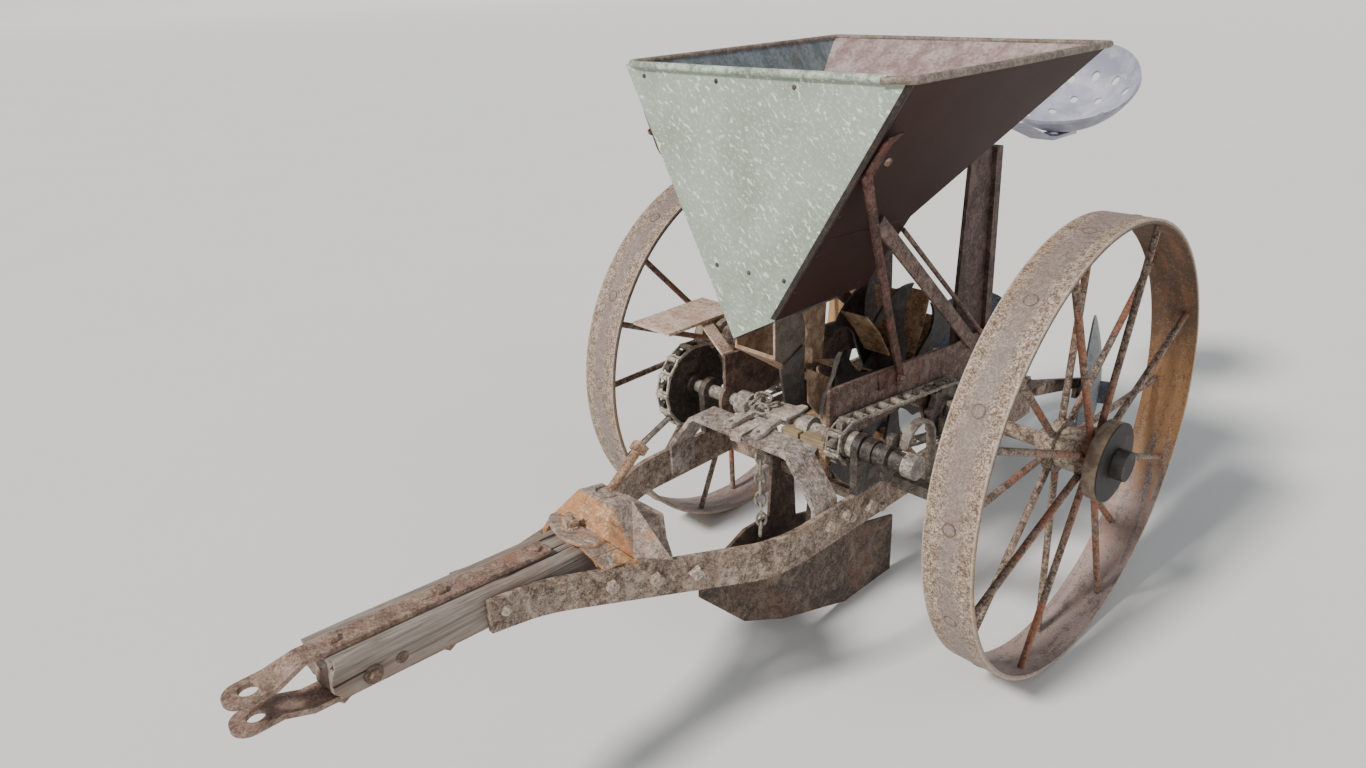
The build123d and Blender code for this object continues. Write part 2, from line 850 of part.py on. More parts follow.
# Seed chamber: a whole cheek on the right, a short one at the front of the left side, which stands open,
# and a floor that slopes to the pickers
chamber_plate = 5.0
chamber_front = hopper_front + sheet + 1
chamber_floor_end = -266.0
chamber_floor_low = 572.0
chamber_floor_plate = 8.0
chamber_mouth = hopper_far_low - 20
cheek_top = -352.0
cheek_lip = -330.0
cheek_low = -316.0
with BuildPart() as seed_chamber:
    with BuildSketch(side_view(-hopper_throat_half)):
        with BuildLine():
            Polyline(
                (chamber_front, hopper_far_low - seat_gap),
                (chamber_front, chamber_mouth),
                (chamber_floor_end, chamber_floor_low - chamber_floor_plate),
                (hopper_throat_rear - 10, chamber_floor_low - chamber_floor_plate),
                (hopper_throat_rear, hopper_far_low - seat_gap),
                close=True,
            )
        make_face()
    extrude(amount=chamber_plate)
    with BuildSketch(side_view(hopper_throat_half - chamber_plate)):
        with BuildLine():
            Polyline(
                (chamber_front, hopper_near_low - seat_gap),
                (chamber_front, chamber_mouth),
                (cheek_low, chamber_mouth - 40),
                (cheek_low, chamber_mouth - 10),
                (cheek_lip - 14, chamber_mouth + 8),
                (cheek_lip, chamber_mouth + 26),
                (cheek_top, hopper_near_low - seat_gap),
                close=True,
            )
        make_face()
    extrude(amount=chamber_plate)
    with BuildSketch(side_view(-hopper_throat_half)):
        with BuildLine():
            Polyline(
                (chamber_front, chamber_mouth),
                (chamber_floor_end, chamber_floor_low - chamber_floor_plate),
                (chamber_floor_end, chamber_floor_low),
                (chamber_front, chamber_mouth + chamber_floor_plate),
                close=True,
            )
        make_face()
    extrude(amount=2 * hopper_throat_half)
    # A fin and an apron plate stand on the outside of the left cheek
    with BuildSketch(side_view(hopper_throat_half + seat_gap)):
        with BuildLine():
            Polyline((-350, 682), (-416, 650), (-402, 578), (-368, 560), (-342, 556), close=True)
        make_face()
        with BuildLine():
            Polyline((-336, 628), (-256, 580), (-268, 504), (-300, 516), (-330, 552), close=True)
        make_face()
    extrude(amount=chamber_plate)
save("seed_chamber", seed_chamber)

# Picker wheel: hub, disc and two rows of broad hooked blades
blade_rows = (
    # start along X, angle of the first tip up from the rear
    (-picker_half_width, 93.5),
    (picker_half_width - blade_thickness, 79.5),
)


def polar(radius, angle):
    """Point in a wheel's own sketch, the angle in degrees counted forward from its first axis."""
    return radius * cos(radians(angle)), radius * sin(radians(angle))


def wheel_plane(x, angle):
    """Plane of the picker wheel at a place along the axle, its x pointing out at an angle."""
    outward = (0, cos(radians(angle)), sin(radians(angle)))
    return Plane(origin=(x, axle_y, axle_z), x_dir=outward, z_dir=(1, 0, 0))


with BuildPart() as picker_wheel:
    with BuildSketch(side_view(-picker_hub_half)):
        with Locations((0, axle_z)):
            Circle(picker_hub_radius)
    extrude(amount=2 * picker_hub_half)
    with BuildSketch(side_view(-picker_disc_half)):
        with Locations((0, axle_z)):
            Circle(picker_disc_radius)
    extrude(amount=2 * picker_disc_half)
    for x, first_tip in blade_rows:
        for i in range(blade_count):
            with BuildSketch(wheel_plane(x, first_tip + 360 * i / blade_count)):
                with BuildLine():
                    ThreePointArc(polar(picker_radius, 0), polar(picker_radius - 9, 18), polar(picker_radius - 34, 37))
                    ThreePointArc(polar(picker_radius - 34, 37), polar(186, 25), polar(140, 22))
                    Line(polar(140, 22), polar(picker_hub_radius - 5, 24))
                    Line(polar(picker_hub_radius - 5, 24), polar(picker_hub_radius - 5, -24))
                    Line(polar(picker_hub_radius - 5, -24), polar(110, -8))
                    ThreePointArc(polar(110, -8), polar(175, 6), polar(picker_radius, 0))
                make_face()
            extrude(amount=blade_thickness)
    with BuildSketch(side_view(-picker_hub_half)):
        with Locations((0, axle_z)):
            Circle(axle_radius + running_clearance)
    extrude(amount=2 * picker_hub_half, mode=Mode.SUBTRACT)
save("picker_wheel", picker_wheel)

# Picker paddles: bent plates between the two rows of blades, standing on the disc's edge
paddle_half = picker_half_width - blade_thickness - seat_gap
paddle_foot = picker_disc_radius + seat_gap
with BuildPart() as picker_paddles:
    for i in range(paddle_count):
        with BuildSketch(wheel_plane(-paddle_half, 15 + 360 * i / paddle_count)):
            with BuildLine():
                Polyline(polar(paddle_foot, 0), polar(172, 8), polar(picker_radius - 12, 14))
            trace(line_width=paddle_thickness)
            Circle(paddle_foot, mode=Mode.SUBTRACT)
        extrude(amount=2 * paddle_half)
save("picker_paddles", picker_paddles)

# Seat posts, crosshead, spring and pan
post_thickness = 9.0
post_top = 985.0
post_foot = board_bottom + 4
post_foot_front = 62.0
post_head_front = 84.0
post_foot_rear = 207.0
post_head_rear = 187.0
edge_strip_width = 24.0
edge_strip_thickness = 10.0
with BuildPart() as seat_posts:
    with BuildSketch(side_view(board_spread - board_thickness / 2 - post_thickness)):
        with BuildLine():
            Polyline(
                (post_foot_front, post_foot),
                (post_head_front, post_top),
                (post_head_rear, post_top),
                (post_foot_rear, post_foot),
                close=True,
            )
        make_face()
    extrude(amount=post_thickness)
    # Narrow bars stand on the posts' outer faces along their rear edges
    with BuildSketch(side_view(board_spread - board_thickness / 2 + seat_gap)):
        with BuildLine():
            Polyline(
                (post_foot_rear - edge_strip_width - 3, board_top + seat_gap),
                (post_head_rear - edge_strip_width, post_top),
                (post_head_rear, post_top),
                (post_foot_rear - 3, board_top + seat_gap),
                close=True,
            )
        make_face()
    extrude(amount=edge_strip_thickness)
    mirror(about=Plane.YZ)
save("seat_posts", seat_posts)

post_inner = board_spread - board_thickness / 2 - post_thickness
crosshead_station = 158.0
crosshead_top = post_top - 24
crosshead_depth = 12.0
with BuildPart() as seat_crosshead:
    with BuildSketch(side_view(-post_inner)):
        with Locations((crosshead_station, crosshead_top - crosshead_depth / 2)):
            Rectangle(50, crosshead_depth)
    extrude(amount=2 * post_inner)
save("seat_crosshead", seat_crosshead)

# The pan is part of a ball, tilted up to the rear; its lowest point lies under the ball's centre
pan_depth = seat_dish - sqrt(seat_dish**2 - (seat_depth / 2) ** 2)
pan_pole = Vector(0, station(seat_station) + pan_depth * sin(tilt), seat_height - pan_depth * cos(tilt))
ball_station = seat_station + (pan_depth - seat_dish) * sin(tilt)
ball_bottom = seat_height + (seat_dish - pan_depth) * cos(tilt) - seat_dish

# Seat spring: flat bar with a low arch, from the crosshead to the underside of the pan
spring_thickness = 8.0
spring_width = 54.0
spring_arch = 14.0
spring_root = crosshead_top + spring_thickness / 2
spring_head = ball_bottom - seat_gap - spring_thickness / 2
with BuildPart() as seat_spring:
    with BuildSketch(side_view()):
        with BuildLine():
            FilletPolyline(
                (crosshead_station - 20, spring_root),
                (crosshead_station + 50, spring_root),
                (crosshead_station + 150, spring_root + spring_arch),
                (ball_station - 250, spring_root + spring_arch),
                (ball_station - 90, spring_head),
                (ball_station + 40, spring_head),
                radius=60,
            )
        trace(line_width=spring_thickness)
    extrude(amount=spring_width / 2, both=True)
save("seat_spring", seat_spring)

with BuildPart() as seat_pan:
    seat_plane = Plane(origin=pan_pole, x_dir=(1, 0, 0), z_dir=(0, -sin(tilt), cos(tilt)))
    with BuildSketch(seat_plane):
        Ellipse(seat_width / 2, seat_depth / 2)
        for ring, holes in seat_hole_rings:
            with PolarLocations(ring, holes):
                Circle(seat_hole_radius, mode=Mode.SUBTRACT)
    extrude(amount=seat_dish)
    with Locations(seat_plane.offset(seat_dish)):
        Sphere(seat_dish, mode=Mode.INTERSECT)
    with Locations(seat_plane.offset(seat_dish)):
        Sphere(seat_dish - seat_sheet, mode=Mode.SUBTRACT)
save("seat_pan", seat_pan)

# Foot plate over the far chain, on a stay from the side board
foot_x = -262.0
foot_z = 664.0
with BuildPart() as foot_plate:
    with BuildSketch(top_view(foot_z)):
        with Locations((foot_x, -352)):
            Rectangle(112, 206)
    extrude(amount=6)
    with BuildSketch(front_view(-330)):
        with BuildLine():
            Polyline(
                (foot_x + 50, foot_z),
                (foot_x + 44, foot_z),
                (-board_spread - board_thickness / 2 - 6, 600),
                (-board_spread - board_thickness / 2 - 6, 540),
                (-board_spread - board_thickness / 2, 540),
                (-board_spread - board_thickness / 2, 602),
                close=True,
            )
        make_face()
    extrude(amount=30)
save("foot_plate", foot_plate)

# Rear tool bar and the covering discs on their arms
bar_depth = 44.0
bar_station = rail_rear - 30
arm_half = 12.0
with BuildPart() as rear_tool_bar:
    with BuildSketch(side_view(-rail_spread - 40)):
        with Locations((bar_station, rail_top + 8)):
            Rectangle(bar_depth, 16)
    extrude(amount=2 * rail_spread + 80)
save("rear_tool_bar", rear_tool_bar)

disc_hub_reach = 46.0
with BuildPart() as disc_arms:
    for side in (1, -1):
        axis = Vector(-side * cos(toe), -sin(toe), 0)
        centre = Vector(side * disc_spread, station(disc_station), disc_height)
        arm_foot = centre + axis * (disc_hub_reach + 10)
        with BuildSketch(side_view(arm_foot.X - arm_half / 2)):
            with BuildLine():
                Polyline(
                    (bar_station - 18, rail_top),
                    (bar_station + 18, rail_top),
                    (disc_station + axis.Y * (disc_hub_reach + 10) + 17, disc_height + 26),
                    (disc_station + axis.Y * (disc_hub_reach + 10) + 17, disc_height - 22),
                    (disc_station + axis.Y * (disc_hub_reach + 10) - 17, disc_height - 22),
                    (disc_station + axis.Y * (disc_hub_reach + 10) - 17, disc_height + 10),
                    (bar_station - 18, rail_top - 40),
                    close=True,
                )
            make_face()
        extrude(amount=arm_half)
        with BuildSketch(Plane(origin=centre + axis * (-24), z_dir=axis)):
            Circle(11)
        extrude(amount=disc_hub_reach + 10 + 24)
save("disc_arms", disc_arms)

for name, side in (("covering_disc_left", 1), ("covering_disc_right", -1)):
    axis = Vector(-side * cos(toe), -sin(toe), 0)
    centre = Vector(side * disc_spread, station(disc_station), disc_height)
    disc_plane = Plane(origin=centre, x_dir=(0, 0, 1), z_dir=axis)
    with BuildPart() as covering_disc:
        with BuildSketch(disc_plane):
            Circle(disc_radius)
        extrude(amount=80)
        with Locations(disc_plane.offset(disc_dish)):
            Sphere(disc_dish, mode=Mode.INTERSECT)
        with Locations(disc_plane.offset(disc_dish)):
            Sphere(disc_dish - disc_sheet, mode=Mode.SUBTRACT)
        with BuildSketch(disc_plane.offset(-20)):
            Circle(30)
        extrude(amount=disc_hub_reach + 10)
        with BuildSketch(disc_plane.offset(-30)):
            Circle(11 + running_clearance)
        extrude(amount=120, mode=Mode.SUBTRACT)
    save(name, covering_disc)

# Ground wheels: rim, hub with spokes, and the drum cap outside with its round knob
for name, side in (("wheel_left", 1), ("wheel_right", -1)):
    x_mid = side * track / 2
    with BuildPart() as rim:
        with BuildSketch(side_view(x_mid - rim_width / 2)):
            with Locations((0, axle_z)):
                Circle(wheel_radius)
                Circle(wheel_radius - rim_thickness, mode=Mode.SUBTRACT)
        extrude(amount=rim_width)
    save(name + "_rim", rim)

    with BuildPart() as hub:
        with BuildSketch(side_view(x_mid - hub_length / 2)):
            with Locations((0, axle_z)):
                Circle(hub_radius)
        extrude(amount=hub_length)
        for row in (-1, 1):
            with BuildSketch(side_view(x_mid + row * hub_length * 0.34 - 9)):
                with Locations((0, axle_z)):
                    Circle(hub_bell_radius)
            extrude(amount=18)
        for i in range(spoke_count):
            row = 1 if i % 2 else -1
            angle = 2 * pi * i / spoke_count
            radial = Vector(0, cos(angle), sin(angle))
            centre = Vector(x_mid, axle_y, axle_z)
            start = centre + radial * (hub_radius - 6) + Vector(row * hub_length * 0.34, 0, 0)
            end = centre + radial * (wheel_radius - rim_thickness) + Vector(row * spoke_stagger, 0, 0)
            direction = end - start
            with BuildSketch(Plane(origin=start, z_dir=direction)):
                Circle(spoke_radius)
            extrude(amount=direction.length - 2 * seat_gap)
        with BuildSketch(side_view(x_mid - hub_length / 2 - 1)):
            with Locations((0, axle_z)):
                Circle(axle_radius + running_clearance)
        extrude(amount=hub_length + 2, mode=Mode.SUBTRACT)
    save(name + "_hub", hub)

    drum_plane = Plane(
        origin=(x_mid + side * hub_length / 2, axle_y, axle_z),
        x_dir=(0, 1, 0),
        z_dir=(side, 0, 0),
    )
    with BuildPart() as drum:
        with BuildSketch(drum_plane):
            Circle(drum_radius)
        extrude(amount=drum_depth)
        with BuildSketch(drum_plane):
            Circle(drum_radius - drum_wall)
        extrude(amount=drum_depth - drum_wall, mode=Mode.SUBTRACT)
        with BuildSketch(drum_plane):
            Circle(drum_radius - drum_wall)
            Circle(hub_radius - 8, mode=Mode.SUBTRACT)
        extrude(amount=6)
        with BuildSketch(drum_plane.offset(drum_depth)):
            Circle(knob_radius)
        extrude(amount=knob_depth)
    save(name + "_drum", drum)
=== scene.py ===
"""Potato planter: finishes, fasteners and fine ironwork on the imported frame, in metres.

Places along the machine are stations, counted rearward from the axle. +X is the machine's left side.
"""

import json
from math import acos, atan2, cos, hypot, pi, radians, sin

import bmesh
import bpy
from mathutils import Matrix, Vector, noise


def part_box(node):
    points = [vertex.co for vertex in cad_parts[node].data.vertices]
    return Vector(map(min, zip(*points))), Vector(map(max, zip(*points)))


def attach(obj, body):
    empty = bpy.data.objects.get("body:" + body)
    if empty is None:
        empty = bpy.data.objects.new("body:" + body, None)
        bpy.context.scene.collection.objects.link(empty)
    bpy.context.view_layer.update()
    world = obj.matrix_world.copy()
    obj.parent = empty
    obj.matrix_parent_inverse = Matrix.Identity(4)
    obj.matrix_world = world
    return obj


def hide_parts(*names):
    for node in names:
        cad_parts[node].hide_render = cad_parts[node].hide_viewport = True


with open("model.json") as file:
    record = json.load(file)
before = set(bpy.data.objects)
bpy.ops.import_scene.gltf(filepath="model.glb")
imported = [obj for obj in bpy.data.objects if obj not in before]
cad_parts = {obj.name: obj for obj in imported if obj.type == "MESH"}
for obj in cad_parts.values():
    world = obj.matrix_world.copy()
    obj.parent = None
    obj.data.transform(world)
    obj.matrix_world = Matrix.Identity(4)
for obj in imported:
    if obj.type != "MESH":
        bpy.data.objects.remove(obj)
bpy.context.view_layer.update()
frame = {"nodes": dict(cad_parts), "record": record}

# Driving places, read from the frame
axle_low, axle_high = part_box("axle")
axle_y = (axle_low.y + axle_high.y) / 2
axle_z = (axle_low.z + axle_high.z) / 2
rim_low, rim_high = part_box("wheel_left_rim")
wheel_radius = (rim_high.z - rim_low.z) / 2
rim_middle = (rim_low.x + rim_high.x) / 2
rim_width = rim_high.x - rim_low.x
hopper_low, hopper_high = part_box("hopper_front_sheet")
hopper_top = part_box("hopper_rim")[1].z
hopper_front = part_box("hopper_rim")[0].y
hopper_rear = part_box("hopper_rim")[1].y
hopper_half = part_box("hopper_rim")[1].x
near_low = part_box("hopper_side_left")[0].z
far_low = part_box("hopper_side_right")[0].z
throat_half = 0.051
seam_height = 0.903
throat_rear = -0.150
rail_top = 0.420
rail_outer = 0.205
board_outer = 0.139
board_top = 0.582
shaft_y = axle_y - 0.350
shaft_z = 0.512
drum_face = 0.5295


def station(y):
    """Frame Y of a place counted rearward from the axle."""
    return axle_y + y


# Shader maths

class Value:
    """An output of a shader node. Arithmetic on it adds the Math nodes."""

    def __init__(self, finish, socket):
        self.finish = finish
        self.socket = socket

    def maths(self, operation, first, second):
        return self.finish.node("ShaderNodeMath", {"operation": operation}, {0: first, 1: second})

    def __add__(self, other):
        return self.maths("ADD", self, other)

    def __radd__(self, other):
        return self.maths("ADD", other, self)

    def __sub__(self, other):
        return self.maths("SUBTRACT", self, other)

    def __rsub__(self, other):
        return self.maths("SUBTRACT", other, self)

    def __mul__(self, other):
        return self.maths("MULTIPLY", self, other)

    def __rmul__(self, other):
        return self.maths("MULTIPLY", other, self)

    def __pow__(self, other):
        return self.maths("POWER", self, other)

    def maximum(self, other):
        return self.maths("MAXIMUM", self, other)

    def band(self, low, high):
        """Rises smoothly from 0 at low to 1 at high, or falls where low is the greater."""
        settings = {"interpolation_type": "SMOOTHSTEP"}
        if low < high:
            return self.finish.node("ShaderNodeMapRange", settings, {"Value": self, 1: low, 2: high})
        return 1 - self.finish.node("ShaderNodeMapRange", settings, {"Value": self, 1: high, 2: low})


def shade(red, green, blue):
    """Linear colour from the eight-bit numbers that a painter's chart gives."""
    linear = [(c / 255 / 12.92) if c <= 10 else ((c / 255 + 0.055) / 1.055) ** 2.4 for c in (red, green, blue)]
    return (*linear, 1.0)


class Finish:
    """A material in the making: its own node tree, with patterns on Object coordinates."""

    def __init__(self, name):
        self.material = bpy.data.materials.new(name)
        self.material.use_nodes = True
        self.tree = self.material.node_tree
        self.shader = self.tree.nodes["Principled BSDF"]
        self.coordinates = self.node("ShaderNodeTexCoord", output="Object")

    def node(self, kind, settings=None, inputs=None, output=0):
        made = self.tree.nodes.new(kind)
        for key, value in (settings or {}).items():
            setattr(made, key, value)
        for key, value in (inputs or {}).items():
            if isinstance(value, Value):
                self.tree.links.new(value.socket, made.inputs[key])
            else:
                made.inputs[key].default_value = value
        return Value(self, made.outputs[output])

    def axis(self, name):
        return self.node("ShaderNodeSeparateXYZ", inputs={0: self.coordinates}, output=name)

    def stretched(self, scale, turn=(0, 0, 0)):
        return self.node("ShaderNodeMapping", inputs={0: self.coordinates, "Rotation": turn, "Scale": scale})

    def noise(self, scale, detail=4.0, roughness=0.6, distortion=0.0, along=None):
        inputs = {
            "Vector": along or self.coordinates,
            "Scale": scale,
            "Detail": detail,
            "Roughness": roughness,
            "Distortion": distortion,
        }
        return self.node("ShaderNodeTexNoise", inputs=inputs)

    def cells(self, scale, output="Distance", along=None):
        inputs = {"Vector": along or self.coordinates, "Scale": scale}
        return self.node("ShaderNodeTexVoronoi", inputs=inputs, output=output)

    def blend(self, mask, under, over):
        inputs = {0: mask, 6: under, 7: over}
        return self.node("ShaderNodeMix", {"data_type": "RGBA"}, inputs, output=2)

    def coat(self, color, roughness, height=None, depth=0.001, metallic=0.0):
        """Joins the patterns to the shader and gives the finished material."""
        targets = {"Base Color": color, "Roughness": roughness, "Metallic": metallic}
        if height is not None:
            targets["Normal"] = self.node("ShaderNodeBump", inputs={"Distance": depth, "Height": height})
        for name, value in targets.items():
            if isinstance(value, Value):
                self.tree.links.new(value.socket, self.shader.inputs[name])
            else:
                self.shader.inputs[name].default_value = value
        return self.material


def rusted(name, dark, middle, light, rust, rust_share=0.5, size=1.0, roughness=0.8, pitted=0.0009):
    """Rusted iron: fine mottled tones, patches of fresh rust, pale flecks and pits. Size scales the pattern."""
    finish = Finish(name)
    broad = finish.noise(8 / size, 3, 0.55, 0.4)
    mottle = finish.noise(75 / size, 6, 0.72, 0.5)
    grain = finish.noise(230 / size, 5, 0.75, 0.3)
    scale = finish.noise(24 / size, 4, 0.62, 0.9)
    pits = finish.cells(170 / size)
    tone = mottle * 0.40 + grain * 0.36 + broad * 0.10 + scale * 0.14
    color = finish.blend(tone.band(0.43, 0.50), dark, middle)
    color = finish.blend(tone.band(0.50, 0.58), color, light)
    patches = (broad * 0.5 + mottle * 0.5).band(0.62 - 0.14 * rust_share, 0.69 - 0.14 * rust_share)
    color = finish.blend(patches * 0.65, color, rust)
    color = finish.blend(scale.band(0.54, 0.66) * 0.5, color, light)
    color = finish.blend(scale.band(0.45, 0.34) * 0.5, color, dark)
    color = finish.blend(grain.band(0.57, 0.64) * 0.45, color, light)
    color = finish.blend(pits.band(0.24, 0.08) * 0.7, color, dark)
    height = mottle * 0.5 + grain * 0.45 + scale * 0.5 + pits.band(0.0, 0.3) * 0.4
    return finish.coat(color, roughness - grain * 0.25 + patches * 0.1, height, pitted)


def weathered_timber():
    finish = Finish("weathered_timber")
    along = finish.stretched((9, 0.7, 9))
    fine = finish.stretched((60, 2.2, 60))
    rings = finish.noise(2.4, 5, 0.62, 1.3, along)
    fibre = finish.noise(3.2, 6, 0.7, 0.4, fine)
    checks = finish.noise(2.0, 3, 0.55, 0.2, finish.stretched((34, 0.9, 34))).band(0.405, 0.355)
    stain = finish.noise(7, 4, 0.6)
    color = finish.blend(fibre.band(0.3, 0.7), shade(112, 100, 92), shade(168, 156, 146))
    color = finish.blend(rings.band(0.45, 0.62) * 0.5, color, shade(128, 108, 94))
    color = finish.blend(stain.band(0.5, 0.72) * 0.5, color, shade(128, 92, 68))
    color = finish.blend(checks, color, shade(44, 36, 32))
    height = fibre * 0.5 + rings * 0.3 - checks * 1.3
    return finish.coat(color, 0.9, height, 0.0016)


def galvanised_front():
    """Zinc sheet gone pale grey-green, with a dense fall of chalky flecks that lean down to the right."""
    finish = Finish("galvanised_sheet")
    lean = finish.stretched((1.0, 1.0, 1.0), (0, radians(52), 0))
    drawn = finish.node("ShaderNodeVectorMath", {"operation": "MULTIPLY"}, {0: lean, 1: (1.0, 1.0, 0.5)})
    broad = finish.noise(5, 4, 0.6, 0.6)
    flecks = finish.noise(210, 3, 0.55, 0.3, drawn)
    sparse = finish.noise(125, 3, 0.55, 0.3, drawn)
    fine = finish.noise(420, 3, 0.6)
    streaks = finish.noise(5, 5, 0.65, 0.3, finish.stretched((6, 6, 1.1)))
    color = finish.blend(broad.band(0.35, 0.65), shade(148, 161, 147), shade(170, 181, 167))
    color = finish.blend(streaks.band(0.5, 0.7) * 0.4, color, shade(184, 190, 172))
    color = finish.blend(flecks.band(0.55, 0.61) * 0.7, color, shade(196, 210, 188))
    color = finish.blend(sparse.band(0.60, 0.645) * 0.85, color, shade(230, 237, 222))
    color = finish.blend(fine.band(0.62, 0.7) * 0.4, color, shade(122, 134, 120))
    height = flecks * 0.4 + fine * 0.2 + broad * 0.6
    return finish.coat(color, 0.6 + flecks * 0.15, height, 0.0006, 0.15)


def hopper_wall(name, side, outer, outer_light, inner, inner_light):
    """Hopper sheet with dark paint outside and bare worn metal inside. Side is 1, -1, or 0 for the rear."""
    finish = Finish(name)
    height_up = finish.axis("Z")
    if side:
        low = near_low if side > 0 else far_low
        run = (hopper_half - throat_half) / (hopper_top - low)
        outward = finish.axis("X") * side - (height_up - low) * run - throat_half
    else:
        slope = (hopper_rear - station(throat_rear)) / (hopper_top - seam_height)
        above = (height_up - seam_height).maximum(0.0)
        outward = finish.axis("Y") - above * slope - station(throat_rear)
    outside = outward.band(-0.0022, -0.0012)
    broad = finish.noise(4.5, 5, 0.6, 0.5)
    fine = finish.noise(130, 5, 0.7)
    drops = finish.noise(9, 5, 0.7, 0.2, finish.stretched((3.2, 3.2, 0.35)))
    specks = finish.cells(48)
    paint = finish.blend((broad * 0.5 + fine * 0.5).band(0.42, 0.66) * 0.7, outer, outer_light)
    paint = finish.blend(drops.band(0.62, 0.76) * 0.3, paint, shade(84, 48, 38))
    paint = finish.blend(fine.band(0.70, 0.76) * 0.4, paint, shade(110, 92, 82))
    bare = finish.blend((drops * 0.6 + fine * 0.4).band(0.4, 0.62), inner, inner_light)
    bare = finish.blend(broad.band(0.54, 0.7) * 0.6, bare, shade(112, 78, 62))
    bare = finish.blend(specks.band(0.16, 0.04) * 0.7, bare, shade(80, 56, 46))
    color = finish.blend(outside, bare, paint)
    height = broad * 0.5 + fine * 0.35 + drops * 0.2
    finish.shader.inputs["Specular IOR Level"].default_value = 0.22
    return finish.coat(color, 0.66 - outside * 0.16 + fine * 0.14, height, 0.0007)


def wheel_iron():
    """Tread worn beige with a smoother grey track along its middle. On the rim's inside, painted light and shade by
    height: pale pinkish grey low down, where it faces up, orange-tan across the middle and dark brown at the top, where
    it faces down; brown and tan rust streaks lie over them.
    """
    finish = Finish("wheel_rust")
    across = finish.axis("X")
    rise = finish.axis("Z") - axle_z
    run = finish.axis("Y") - axle_y
    reach = (rise * rise + run * run) ** 0.5
    tread = reach.band(wheel_radius - 0.006, wheel_radius - 0.003)
    off_middle = finish.node("ShaderNodeMath", {"operation": "ABSOLUTE"}, {0: across})
    edge_gap = finish.node("ShaderNodeMath", {"operation": "ABSOLUTE"}, {0: off_middle - rim_middle})
    broad = finish.noise(6, 4, 0.6, 0.6)
    mottle = finish.noise(80, 6, 0.72, 0.4)
    grain = finish.noise(300, 4, 0.75)
    pits = finish.cells(230)
    speckle = mottle * 0.35 + grain * 0.65
    edges = edge_gap.band(rim_width / 2 - 0.004, rim_width / 2 - 0.001)
    track = (edge_gap - broad * 0.05).band(0.008, -0.018)
    worn = finish.blend(speckle.band(0.43, 0.52), shade(98, 76, 62), shade(158, 138, 121))
    worn = finish.blend(speckle.band(0.52, 0.6), worn, shade(212, 197, 179))
    worn = finish.blend((broad * 0.4 + grain * 0.6).band(0.55, 0.64) * 0.7, worn, shade(182, 134, 94))
    worn = finish.blend(track * (0.85 - speckle * 0.4), worn, shade(128, 116, 112))
    worn = finish.blend(pits.band(0.22, 0.06) * 0.55, worn, shade(104, 80, 64))
    worn = finish.blend(edges * 0.45, worn, shade(204, 188, 172))
    streaks = finish.noise(16, 5, 0.66, 0.3, finish.stretched((3.5, 0.7, 0.7)))
    # Painted light and shade: the inside's tone goes by height, its bands ruffled by the streaks
    painted_light_height = rise + (streaks - 0.5) * 0.5
    inner = finish.blend(painted_light_height.band(-0.26, -0.12), shade(160, 142, 136), shade(176, 132, 92))
    inner = finish.blend(painted_light_height.band(0.02, 0.2), inner, shade(108, 84, 68))
    inner = finish.blend((speckle * 0.6 + streaks * 0.4).band(0.51, 0.43) * 0.6, inner, shade(88, 68, 56))
    inner = finish.blend((streaks * 0.5 + broad * 0.5).band(0.53, 0.62) * 0.4, inner, shade(164, 108, 68))
    inner = finish.blend(speckle.band(0.54, 0.62) * 0.5, inner, shade(198, 174, 150))
    inner = finish.blend(pits.band(0.24, 0.05) * 0.5, inner, shade(70, 54, 46))
    color = finish.blend(tread, inner, worn)
    height = mottle * 0.45 + grain * 0.45 + pits.band(0.0, 0.3) * 0.35
    return finish.coat(color, 0.82 - grain * 0.2 - track * 0.1, height, 0.0012)


def spoke_iron():
    """Spokes grey-brown with long patches of orange rust; the hub between them pale tan-grey."""
    finish = Finish("spoke_iron")
    rise = finish.axis("Z") - axle_z
    run = finish.axis("Y") - axle_y
    hub = ((rise * rise + run * run) ** 0.5).band(0.060, 0.046)
    patches = finish.noise(7, 3, 0.5, 0.5)
    mottle = finish.noise(85, 6, 0.7, 0.4)
    grain = finish.noise(260, 4, 0.72)
    pits = finish.cells(210)
    tone = mottle * 0.5 + grain * 0.5
    color = finish.blend(tone.band(0.43, 0.51), shade(74, 58, 48), shade(122, 102, 88))
    color = finish.blend(tone.band(0.5, 0.59), color, shade(170, 154, 140))
    color = finish.blend((patches * 0.6 + mottle * 0.4).band(0.5, 0.6) * 0.65, color, shade(158, 92, 60))
    bare = finish.blend(tone.band(0.43, 0.57), shade(104, 92, 80), shade(176, 162, 145))
    color = finish.blend(hub * 0.85, color, bare)
    color = finish.blend(pits.band(0.24, 0.08) * 0.5, color, shade(64, 48, 40))
    return finish.coat(color, 0.8 - grain * 0.2, mottle * 0.5 + grain * 0.5, 0.0009)


def drum_iron():
    """Drum caps: black greasy face with a tan band of dried grease round the side."""
    finish = Finish("drum_iron")
    off_middle = finish.node("ShaderNodeMath", {"operation": "ABSOLUTE"}, {0: finish.axis("X")})
    face = off_middle.band(drum_face - 0.004, drum_face - 0.001)
    mottle = finish.noise(26, 6, 0.7, 0.4)
    grain = finish.noise(240, 4, 0.7)
    side = finish.blend(mottle.band(0.4, 0.62), shade(110, 92, 76), shade(152, 134, 114))
    black = finish.blend(mottle.band(0.5, 0.7), shade(30, 27, 26), shade(62, 52, 46))
    color = finish.blend(face, side, black)
    return finish.coat(color, 0.75 - grain * 0.15, mottle * 0.6 + grain * 0.4, 0.0012)


